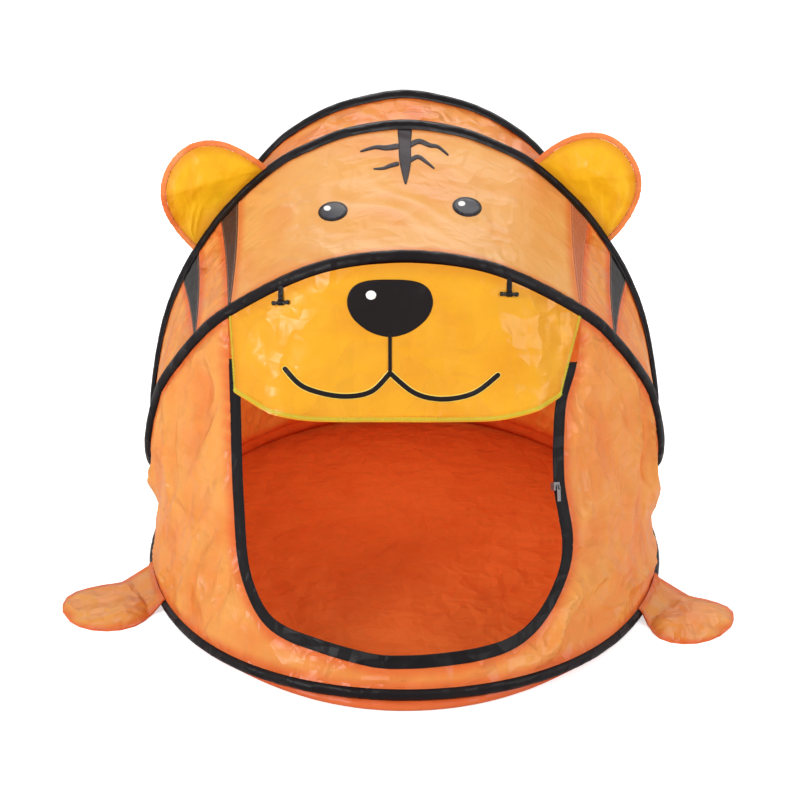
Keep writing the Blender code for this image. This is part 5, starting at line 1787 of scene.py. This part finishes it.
@dataclass
class Muzzle:
    """The yellow flap over the door: sewn along the visor, free below its seam, with an overlocked hem."""

    tent: Frame
    surface: WallSurface
    bottom_half_width: float = 0.290
    bottom_right: float = 0.262
    centre_height: float = 0.394
    corner_height: float = 0.434
    corner_power: float = 2.4
    offset: float = 0.0042
    hang_share: float = 0.38
    hang_half_width: float = 0.225
    fold: float = 0.0030
    fold_width: float = 0.030
    fold_lean: float = 0.6
    fold_turn: float = 0.85
    edge_inset: float = 0.0022
    edge_lift: float = 0.0008
    calm_reach: float = 0.03
    hem_width: float = 0.010
    hem_thickness: float = 0.0022
    bend_top: float = 0.588
    bend_bottom: float = 0.552
    bend_y: float = -0.369
    rows: int = 62

    def bottom(self, x: Array) -> Array:
        """How high the free edge is at places along X."""
        share = np.minimum(np.abs(x) / np.where(x > 0, self.bottom_right, self.bottom_half_width), 1)
        return self.centre_height + (self.corner_height - self.centre_height) * share**self.corner_power

    def place(self, x: Array, z: Array, top: Array) -> Array:
        """Places on the muzzle: over the wall at the sides, hanging straighter in the middle, with slack folds.

        Args:
            x: places along X.
            z: heights.
            top: the visor's height there.

        Returns:
            The places.
        """
        share = np.minimum(np.abs(x) / self.hang_half_width, 1)
        hang = self.hang_share * (top - z) * (1 - share**2)
        slack = np.zeros(x.shape)
        for side in (-1, 1):
            beside = (side * x - (top - z) * self.fold_lean - self.fold_width) * self.fold_turn
            slack += np.exp(-((beside / self.fold_width) ** 2))
        y = self.surface.depth(x, z) - self.offset + hang - slack * self.fold * (1 - share**2)
        return np.stack([x, y, z], axis=-1)

    def strip(self, low: float, high: Optional[float], rows: int) -> Array:
        """Rows of the muzzle between two distances above its free edge; None is the visor's edge.

        Args:
            low: the lower distance.
            high: the upper one.
            rows: steps between them.

        Returns:
            The grid.
        """
        stop = int(np.cumsum(SEAM_STEPS)[1]) * self.tent.density
        edge = self.tent.visor.edge(1)
        half = (len(edge) - 1) // 2
        top = edge[half - stop : half + stop + 1 : 2]
        reach = np.where(top[:, 0] > 0, self.bottom_right, self.bottom_half_width)
        bottom_x = top[:, 0] * reach / abs(top[-1, 0])
        made = []
        for k in range(rows + 1):
            x, z = top[:, 0], top[:, 2]
            for _ in range(4):
                start = top[:, 2] if high is None else self.bottom(x) + high
                z = start + (self.bottom(x) + low - start) * k / rows
                x = top[:, 0] + (bottom_x - top[:, 0]) * (top[:, 2] - z) / (top[:, 2] - self.bottom(bottom_x))
            made.append(self.place(x, z, top[:, 2]))
        return np.array(made)

    def bend(self, obj: Any) -> None:
        """Bakes a piece's place into its mesh, where it rides on no body."""
        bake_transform(obj)

    def build(self, face: Face) -> None:
        """Builds the muzzle with its hem, stitches and prints.

        Args:
            face: what is printed on it.
        """
        sheet = Sheet(self.strip(self.edge_inset, None, self.rows), pinned=(True, False, True, True))
        calm = np.clip(sheet.v / self.calm_reach, 0.25, 1.0)
        small = {"crinkle": 0.0014, "crinkle_size": 0.05, "pucker": 0.0016}
        sheet.wrinkle(Drape(71, 0.0036, fold=0.0060, fold_width=0.060, fold_angle=-34, **small), calm)
        obj = piece(sheet.mesh("muzzle"), "muzzle", None, ["muzzle_top", "muzzle_flap"])
        hem_grid = Sheet(self.strip(0.0, self.hem_width, 4), self.hem_thickness, NO_SEAMS)
        hem_grid.grid = hem_grid.grid + (sheet.grid[-1] - sheet.flat[-1])[None]
        hem = piece(hem_grid.mesh("muzzle_hem"), "muzzle", "muzzle")
        out = hem_grid.normals()
        out = out * -np.sign(out[..., 1:2])
        line = hem_grid.grid[2] + out[2] * (self.hem_thickness / 2 + THREAD_LIFT)
        turned = np.cross(out[2], unit(np.gradient(line, axis=0)))
        loops = OVERLOCK.set_along("hem_overlock", [(line, turned)], "lime", "muzzle")
        ends = []
        for column, step in ((0, 1), (-1, -1)):
            side = sheet.grid[:, column]
            inwards = unit(sheet.grid[:, column + 2 * step] - side)
            away = unit(np.cross(inwards, np.gradient(side, axis=0)))
            away = away * -np.sign(away[:, 1:2])
            ends.append((side + inwards * self.edge_inset + away * self.edge_lift, inwards))
        edging = OVERLOCK.set_along("muzzle_side_overlock", ends, "lime", "")
        self.bend(edging)
        cloth = faces_of(obj)
        for mark in face.mouth():
            made = piece(mark.mesh(cloth, face.view), mark.finish, None)
            self.bend(made)
        self.bend(obj)


# Toggles and the rolled door


# The toggle bar's places along its length, and its radius there as a share of the knobs'
BAR_PROFILE = (
    (-0.5, 0.55), (-0.49, 0.85), (-0.47, 1.0), (-0.38, 1.0), (-0.33, 0.76), (-0.14, 0.72), (-0.10, 0.95),
    (0.10, 0.95), (0.14, 0.72), (0.33, 0.76), (0.38, 1.0), (0.47, 1.0), (0.49, 0.85), (0.5, 0.55),
)


@dataclass
class Toggle:
    """A ribbon sewn under the visor's sleeve and the moulded bar through its end."""

    side: Side
    x: float
    muzzle: Muzzle
    coarse: Frame
    ribbon_width: float = 0.009
    ribbon_thickness: float = 0.001
    ribbon_length: float = 0.028
    standoff: float = 0.0062
    seam_angle: float = 55.0
    bar_length: float = 0.032
    knob_radius: float = 0.0038
    knob_gap: float = 0.0004
    ribbon_wave: float = 0.0003
    ribbon_steps: int = 12
    eye_steps: int = 18
    eye_depth: float = 0.92
    bar_steps: int = 20

    def axes(self) -> tuple[Array, Array, Array, Array]:
        """The hinge's place and the directions beside, out of and down the ribbon.

        Returns:
            The place and three unit vectors.
        """
        visor = self.coarse.visor
        edge = visor.edge(1)
        start = float(np.interp(self.x, edge[:, 0], edge[:, 2]))
        angle = math.radians(self.seam_angle)
        reach = BUTT_GAP + self.ribbon_thickness / 2
        seam = visor.read(self.x, visor.points)
        seam = seam + visor.read(self.x, visor.outers) * (SLEEVE_HALF_WIDTH + reach) * math.cos(angle)
        seam = seam + visor.read(self.x, visor.normals) * (SLEEVE_HALF_DEPTH + reach) * math.sin(angle)
        low = start - self.ribbon_length
        xs = np.array([self.x - self.ribbon_width, self.x, self.x + self.ribbon_width])
        row = self.muzzle.place(xs, np.full(3, low), np.full(3, start))
        head = self.muzzle.place(xs[1:2], np.full(1, start), np.full(1, start))[0]
        fall = unit(row[1] - head)
        rest = row[1] + np.cross(fall, across(row[2] - row[0], fall)) * self.standoff
        down = unit(rest - seam)
        beside = across(row[2] - row[0], down)
        ends = [visor.read(self.x + sign * self.ribbon_width / 2, visor.points)[2] for sign in (-1, 1)]
        return seam + down * abs(ends[1] - ends[0]) / 2, beside, np.cross(down, beside), down

    def build(self) -> None:
        """Builds the ribbon and the bar."""
        hinge, beside, out, down = self.axes()
        body = f"toggle_{self.side.word}"
        eye = self.knob_radius + self.knob_gap
        middle = self.ribbon_length
        turn = np.linspace(-np.pi / 2, 1.5 * np.pi, self.eye_steps + 2)[1:-1] + np.pi / 2
        places = [(k, k / self.ribbon_steps * (middle - eye * 1.5)) for k in range(self.ribbon_steps + 1)]
        loop = [(self.ribbon_wave * math.sin(k), place) for k, place in places]
        loop += [(eye * math.sin(a) * self.eye_depth, middle - eye * math.cos(a)) for a in turn]
        line = np.array([hinge + out * a + down * b for a, b in loop])
        across_ribbon = np.array([-1, -1 / 3, 1 / 3, 1])[None, :, None] * (self.ribbon_width / 2) * beside
        sheet = Sheet(line[:, None] + across_ribbon, self.ribbon_thickness * 0.7, NO_SEAMS)
        piece(sheet.mesh(f"toggle_ribbon_{self.side.word}"), "sleeve", body)
        centre = hinge + down * middle
        points = np.array([centre + beside * a * self.bar_length for a, _ in BAR_PROFILE])
        ring = np.linspace(0, 2 * np.pi, self.bar_steps, endpoint=False)
        section = [(self.knob_radius * math.cos(a), self.knob_radius * math.sin(a)) for a in ring]
        swell = np.array([[b] * len(ring) for _, b in BAR_PROFILE])
        wides, deeps = (np.tile(way, (len(BAR_PROFILE), 1)) for way in (down, out))
        bar = swept(f"toggle_bar_{self.side.word}", points, wides, deeps, section, False, swell)
        piece(bar, "nylon", body)


@dataclass
class RolledDoor:
    """The door's cloth rolled up along the visor behind the muzzle, and the two straps that hold it."""

    tent: Frame
    radius: float = 0.0205
    inner_radius: float = 0.0070
    turns: float = 4.5
    drop: float = 0.0144
    inset: float = 0.0288
    strap_width: float = 0.015
    strap_radius: float = 0.0226
    strap_thickness: float = 0.0012
    strap_station: int = 3
    ripple: float = 0.0009
    ripple_steps: float = 4.0
    ripple_turn: float = 0.8
    steps_in_turn: int = 26
    strap_steps: int = 48

    def build(self) -> None:
        """Builds the roll as one sheet wound on itself, and the straps."""
        visor, density = self.tent.visor, self.tent.density
        half = (len(visor.points) - 1) // 2
        stop = (int(np.cumsum(SEAM_STEPS)[1]) - 1) * density
        at = np.arange(half - stop, half + stop + 1, 2)
        points, tangents = visor.points[at], visor.tangents[at]
        along_y = np.array([0.0, 1.0, 0.0])
        inwards = across(CORE * along_y - points * along_y, tangents)
        down = across(np.tile(DOWN, (len(at), 1)), tangents)
        inwards = across(inwards - down * np.sum(inwards * down, axis=1, keepdims=True), tangents)
        centres = points + inwards * self.inset + down * self.drop
        angles = np.linspace(0, 2 * np.pi * self.turns, int(self.turns * self.steps_in_turn))
        share = angles / angles[-1]
        radii = self.radius + (self.inner_radius - self.radius) * share
        along = np.arange(len(at))[None] / self.ripple_steps
        ripple = Creases(81).smooth(along, angles[:, None] * self.ripple_turn) - 0.5
        size = (radii[:, None] + self.ripple * ripple)[..., None]
        c, s = turning(angles[:, None])
        sheet = Sheet(centres[None] + (inwards[None] * c + down[None] * s) * size, pinned=NO_SEAMS)
        cloth_piece(sheet, "rolled_door", "wall")
        for side in Side:
            place = self.strap_station * density // 2
            index = place if side is Side.LEFT else len(at) - 1 - place
            ring = np.linspace(0, 2 * np.pi, self.strap_steps, endpoint=False)
            along = unit(centres[index + 1] - centres[index - 1])
            steps = np.linspace(-0.5, 0.5, 5)[:, None, None] * self.strap_width * along
            c, s = turning(ring)
            wheel = c * inwards[index] + s * down[index]
            reach = self.strap_radius + self.strap_thickness / 2
            strap = Sheet(centres[index] + steps + wheel[None] * reach, self.strap_thickness, NO_SEAMS, True)
            obj = piece(strap.mesh(f"roll_strap_{side.word}"), "sleeve")
            size = (self.strap_width, 2 * math.pi * reach)


# Ears and paws


@dataclass
class Ear:
    """A two-layer ear creased across its middle, bound round its edge and sewn to the ridge's sleeve."""

    side: Side
    seat_share: float
    tent: Frame
    half_width: float = 0.104
    height: float = 0.130
    power: float = 2.15
    lean_share: float = -0.04
    thickness: float = 0.003
    crease_slope: float = 0.67
    crease: float = 0.024
    binding_width: float = 0.0095
    binding_thickness: float = 0.005
    clearance: float = 0.0004
    binding_gap: float = 0.0004
    crease_round: float = 0.00006
    steps: int = 80
    rows: int = 34

    def outline(self, share: Array, inset: float) -> tuple[Array, Array]:
        """Places on the ear's edge, along its base and up from it.

        Args:
            share: how far round the edge.
            inset: how far within it.

        Returns:
            The places.
        """
        angle = np.pi * (1 - share)
        c, s = np.cos(angle), np.sin(angle)
        along = (self.half_width - inset) * np.sign(c) * np.abs(c) ** (2 / self.power)
        up = (self.height - inset) * np.maximum(s, 0) ** (2 / self.power)
        return along + self.lean_share * up, up

    def place(self, along: Array, up: Array) -> Array:
        """Places on the ear, whose base follows the sleeve.

        Args:
            along: places along its base.
            up: places up from it.

        Returns:
            The places.
        """
        settle = 1 - np.minimum(up / self.height, 1)
        nearby = self.nearby
        drop = np.interp(along, nearby @ self.tangent, nearby @ self.out) * settle
        step = np.interp(along, nearby @ self.tangent, nearby @ self.forward) * settle
        rise = (up - self.height / 2 - along * self.crease_slope) / math.hypot(1, self.crease_slope)
        off = np.abs(rise) / self.height
        fold = np.maximum(0, 1 - 2 * np.sqrt(off**2 + self.crease_round))
        bulge = self.crease * fold * np.minimum(up / (self.height / 2), 1)
        return (
            self.foot
            + along[..., None] * self.tangent
            + (up + drop)[..., None] * self.out
            + (bulge + step)[..., None] * self.forward
        )

    def build(self) -> None:
        """Builds the ear and its binding."""
        curve = self.tent.front.curves()[1]
        share = (1 + self.seat_share) / 2
        step = self.half_width / (2 * self.tent.front_half_width)
        place = at_shares(curve, np.array([share]))[0]
        ends = at_shares(curve, np.array([share - step / 2, share + step / 2]))
        self.tangent = unit(ends[1] - ends[0]) * math.copysign(1, self.seat_share)
        self.out = across(place - CORE, self.tangent)
        self.forward = np.cross(self.tangent, self.out)
        self.forward = self.forward * (1 if self.forward[1] < 0 else -1)
        self.foot = place + self.out * (SLEEVE_HALF_DEPTH + self.clearance)
        nearby = curve[np.linalg.norm(curve - place, axis=1) < self.half_width * 2] - place
        self.nearby = nearby[np.argsort(nearby @ self.tangent)]
        s, t = np.meshgrid(np.linspace(0, 1, self.steps + 1), np.linspace(0, 1, self.rows + 1))
        gap = self.binding_width + self.binding_gap
        along, up = self.outline(s, gap)
        base = (2 * s - 1) * (self.half_width - gap)
        body = f"ear_{self.side.word}_body"
        sheet = Sheet(self.place(base * (1 - t) + along * t, up * t), self.thickness)
        folds = (0.0016, 0.030, 0.08, 70)
        gathers = {"pucker": 0.0014, "pucker_reach": 0.014}
        sheet.wrinkle(Drape(90 + self.side.value, 0.0020, 0.05, *folds, 0.0008, **gathers))
        name = f"ear_{self.side.word}"
        cloth_piece(sheet, name, "ear", body)
        s, t = np.meshgrid(np.linspace(0, 1, 160), np.linspace(0, 1, 7))
        (a0, u0), (a1, u1) = self.outline(s, self.binding_width), self.outline(s, 0.0)
        band = Sheet(self.place(a0 * (1 - t) + a1 * t, u0 * (1 - t) + u1 * t), self.binding_thickness, NO_SEAMS)
        band.wrinkle(Drape(95, 0.0, fold=0.0, crinkle=0.0007, crinkle_size=0.009, pucker=0.0))
        cloth_piece(band, f"ear_binding_{self.side.word}", "binding", body)
        out = facing(band.normals()[1], self.forward)
        line = band.grid[1] + out * (self.binding_thickness / 2 + THREAD_LIFT)
        STITCH.set_along(f"ear_stitches_{self.side.word}", [(line, out)], "orange_thread", body)


@dataclass
class Paw:
    """A flat two-layer paw on the ground and the cuff that joins it to the ring's sleeve, as one folded sheet."""

    side: Side
    rear_y: float
    front_y: float
    turn: float
    tent: Frame
    reach: float = 0.605
    line_out: float = 0.026
    half_width: float = 0.098
    thickness: float = 0.003
    ground_gap: float = 0.0004
    seat_gap: float = 0.0008
    cuff_angles: tuple[float, ...] = (80.0, 65.0, 50.0, 35.0, 20.0)
    columns: int = 40
    samples: int = 45
    lap: float = 0.0012
    cuff_calm: float = 0.1
    puff: float = 0.007
    puff_reach: float = 0.03
    bend_reach: float = 0.008
    shares: tuple[tuple[float, float, float], ...] = (
        (0.00, 0.65, 0.90), (0.12, 0.66, 1.04), (0.28, 0.70, 1.16), (0.48, 0.70, 1.18), (0.66, 0.66, 1.10),
        (0.82, 0.52, 0.94), (0.94, 0.26, 0.70), (1.00, 0.00, 0.42),
    )

    def build(self) -> None:
        """Builds the paw and its cuff."""
        sign = self.side.value
        rear, front = self.tent.ring_angle(self.rear_y), self.tent.ring_angle(self.front_y)
        mirror = np.array([float(sign), 1.0, 1.0])
        root = self.tent.ring_at(np.linspace(rear, front, self.columns + 1)) * mirror
        ends = unit((root[-1] - root[0]) * LEVEL)
        out = np.cross(ends, -DOWN) * -sign
        angle = math.radians(self.turn)
        flat_out = np.array([sign * math.cos(angle), -math.sin(angle), 0.0])
        beside = np.cross(flat_out, -DOWN) * sign
        ground = self.ground_gap + self.thickness / 2
        coarse = self.tent.ring_at(np.linspace(rear, front, 5)) * mirror
        centre = coarse.mean(axis=0)
        reach = ((coarse - centre) @ flat_out).max() + SLEEVE_HALF_DEPTH
        foot = centre + flat_out * (reach + self.line_out)
        foot[2] = ground
        near, far = -self.shares[0][1] * self.half_width, self.shares[0][2] * self.half_width
        line = foot + beside * np.linspace(near, far, self.columns + 1)[:, None]
        over = self.seat_gap + self.thickness / 2
        cuff = []
        for a in np.radians(self.cuff_angles):
            up_by, out_by = (SLEEVE_HALF_WIDTH + over) * math.sin(a), (SLEEVE_HALF_DEPTH + over) * math.cos(a)
            cuff.append(root - DOWN * up_by + out * out_by)
        inner = line - flat_out * self.lap
        cuff += [cuff[-1] + (inner - cuff[-1]) * k / 6 for k in range(1, 6)]
        dense = np.linspace(0, 1, self.samples)
        table = np.array(self.shares)
        rear_side, front_side = read_at(dense, table[:, 0], table[:, 1:]).T
        length = self.reach - abs(foot[0])
        grid = np.zeros((0,))
        for _ in range(6):
            middle = foot + flat_out * dense[:, None] * length
            low = middle - beside * rear_side[:, None] * self.half_width
            high = middle + beside * front_side[:, None] * self.half_width
            grid = low[:, None] + (high - low)[:, None] * np.linspace(0, 1, self.columns + 1)[None, :, None]
            length += (self.reach - np.abs(grid[..., 0]).max()) / abs(flat_out[0])
        sheet = Sheet(np.concatenate([np.array(cuff), grid]), self.thickness)
        drape = Drape(100 + sign, 0.004, 0.07, 0.004, 0.03, 0.1, fold_angle=30, crinkle=0.0012, pucker=0.0016)
        depth = drape.depth(sheet.u, sheet.v, sheet.seam)
        depth[: len(cuff)] *= self.cuff_calm
        puff = self.puff * (1 - np.exp(-((sheet.seam / self.puff_reach) ** 2)))
        puff[: len(cuff)] = 0.0
        sheet.grid[..., 2] += np.maximum(depth + puff, 0.0)
        name = f"paw_{self.side.word}"
        paw = piece(sheet.mesh(name), "wall", None, [name, f"paw_cuff_{self.side.word}"])
        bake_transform(paw)


# The studio


# Each lamp's place, its size in metres and its power in watts
SOFT_LAMPS = (
    ("soft_lamp_left", (-2.9, -2.9, 2.1), 1.1, 110.0),
    ("soft_lamp_right", (3.0, -2.2, 1.9), 1.8, 62.0),
    ("soft_lamp_rear", (0.2, 2.6, 3.2), 3.2, 84.0),
)


@dataclass
class Studio:
    """A pale floor and a white background, three soft lamps, a small lamp in the cabin, and the camera."""

    view: PrintView = field(default_factory=PrintView)
    sky: float = 0.42
    floor_colour: str = "F4F4F4"
    floor_roughness: float = 0.9
    floor_lift: float = 0.6
    floor_reach: float = 30.0
    aim: tuple[float, float, float] = (0.0, 0.0, 0.35)
    cabin_place: tuple[float, float, float] = (0.0, 0.20, 0.44)
    cabin_power: float = 3.0
    cabin_radius: float = 0.10
    frame_steps: float = 800.0
    sensor: float = 36.0

    def floor(self) -> None:
        """Builds the floor, which the camera sees a little lighter than it is lit."""
        corners = np.array([(-1, -1, 0), (1, -1, 0), (1, 1, 0), (-1, 1, 0)]) * self.floor_reach
        mesh = make_mesh("studio_floor", corners, [(0, 1, 2, 3)])
        floor = add_object("studio_floor", mesh)
        material, tree, shader, _ = start_material("pale_studio_floor")
        seen = add_node(tree, "ShaderNodeLightPath").outputs["Is Camera Ray"]
        lift = add_node(tree, "ShaderNodeMath", {0: seen, 1: self.floor_lift}, operation="MULTIPLY")
        fill(shader, {"Base Color": linear(self.floor_colour), "Roughness": self.floor_roughness})
        fill(shader, {"Emission Color": (1.0, 1.0, 1.0, 1.0), "Emission Strength": lift})
        mesh.materials.append(material)

    def background(self) -> None:
        """Builds the sky: white to the eye, in reflections and through cloth, and dimmer as a light."""
        world = bpy.data.worlds.new("studio_sky")
        bpy.context.scene.world = world
        world.use_nodes = True
        tree = world.node_tree
        tree.nodes.clear()
        path = add_node(tree, "ShaderNodeLightPath").outputs
        seen = path["Is Camera Ray"]
        for ray in ("Is Glossy Ray", "Is Transmission Ray"):
            seen = add_node(tree, "ShaderNodeMath", {0: seen, 1: path[ray]}, operation="MAXIMUM")
        level = ramp(tree, seen, 0.0, 1.0, self.sky, 1.0)
        sky = add_node(tree, "ShaderNodeBackground", {"Color": (1.0, 1.0, 1.0, 1.0), "Strength": level})
        add_node(tree, "ShaderNodeOutputWorld", {0: sky})

    def lamps(self) -> None:
        """Sets two lamps in front, one behind and a weak one in the cabin that neither eye nor gloss sees."""
        for name, place, size, power in SOFT_LAMPS:
            lamp = bpy.data.lights.new(name, "AREA")
            lamp.size, lamp.energy = size, power
            self.point(add_object(name, lamp), Vector(place), Vector(self.aim) - Vector(place))
        glow = bpy.data.lights.new("cabin_lamp", "POINT")
        glow.energy, glow.shadow_soft_size = self.cabin_power, self.cabin_radius
        obj = add_object("cabin_lamp", glow)
        obj.location, obj.visible_camera, obj.visible_glossy = self.cabin_place, False, False

    def point(self, obj: Any, place: Vector, way: Vector) -> None:
        """Sets a lamp or the camera at a place, looking a way."""
        obj.location = place
        obj.rotation_euler = way.to_track_quat("-Z", "Y").to_euler()

    def build(self) -> None:
        """Builds the floor, the sky, the lamps and the camera."""
        self.floor()
        self.background()
        self.lamps()
        data = bpy.data.cameras.new("camera")
        data.sensor_width = self.sensor
        data.lens = self.view.steps_away / self.frame_steps * self.sensor
        camera = add_object("camera", data)
        self.point(camera, Vector(self.view.eye()), Vector(self.view.axes()[2]))
        bpy.context.scene.camera = camera
        bpy.context.scene.view_settings.view_transform = "Standard"


def dress_solids() -> None:
    """Gives the rigid solids that stay in view their finishes."""
    hoops = "base_ring", "front_loop", "rear_loop"
    steel = [f"{hoop}_{part}" for hoop in hoops for part in ("wire", "ferrule")]
    for names, finish in ((steel, "steel"), (["zip_slider", "zip_puller"], "pull")):
        for name in names:
            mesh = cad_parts[name].data
            mesh.materials.clear()
            mesh.materials.append(material_of(finish))


def main() -> None:
    """Builds the tent's looks in order."""
    logging.basicConfig(level=logging.INFO, format="%(message)s")
    tent, coarse = Frame(DENSITY), Frame(1)
    tent.sleeves()
    forehead = Canopy(tent).build()
    Cabin(tent).build()
    Floor(tent).build()
    surface = WallSurface(tent.visor.edge(1), tent.foot(0))
    FrontWall(tent, surface).build()
    face = Face()
    muzzle = Muzzle(tent, surface)
    muzzle.build(face)
    cloth = faces_of(forehead)
    for mark in face.brow():
        piece(mark.mesh(cloth, face.view), mark.finish)
    coarse_muzzle = Muzzle(coarse, WallSurface(coarse.visor.edge(1), coarse.foot(0)))
    for side, x in ((Side.LEFT, -0.205), (Side.RIGHT, 0.171)):
        Toggle(side, x, coarse_muzzle, coarse).build()
    RolledDoor(tent).build()
    Ear(Side.LEFT, seat_share=-0.402, tent=tent).build()
    Ear(Side.RIGHT, seat_share=0.382, tent=tent, crease_slope=1.4).build()
    Paw(Side.LEFT, rear_y=-0.150, front_y=-0.308, turn=28.0, tent=tent, reach=0.622).build()
    Paw(Side.RIGHT, rear_y=-0.200, front_y=-0.345, turn=36.0, tent=tent, reach=0.592).build()
    dress_solids()
    Studio().build()


if __name__ == "__main__":
    main()
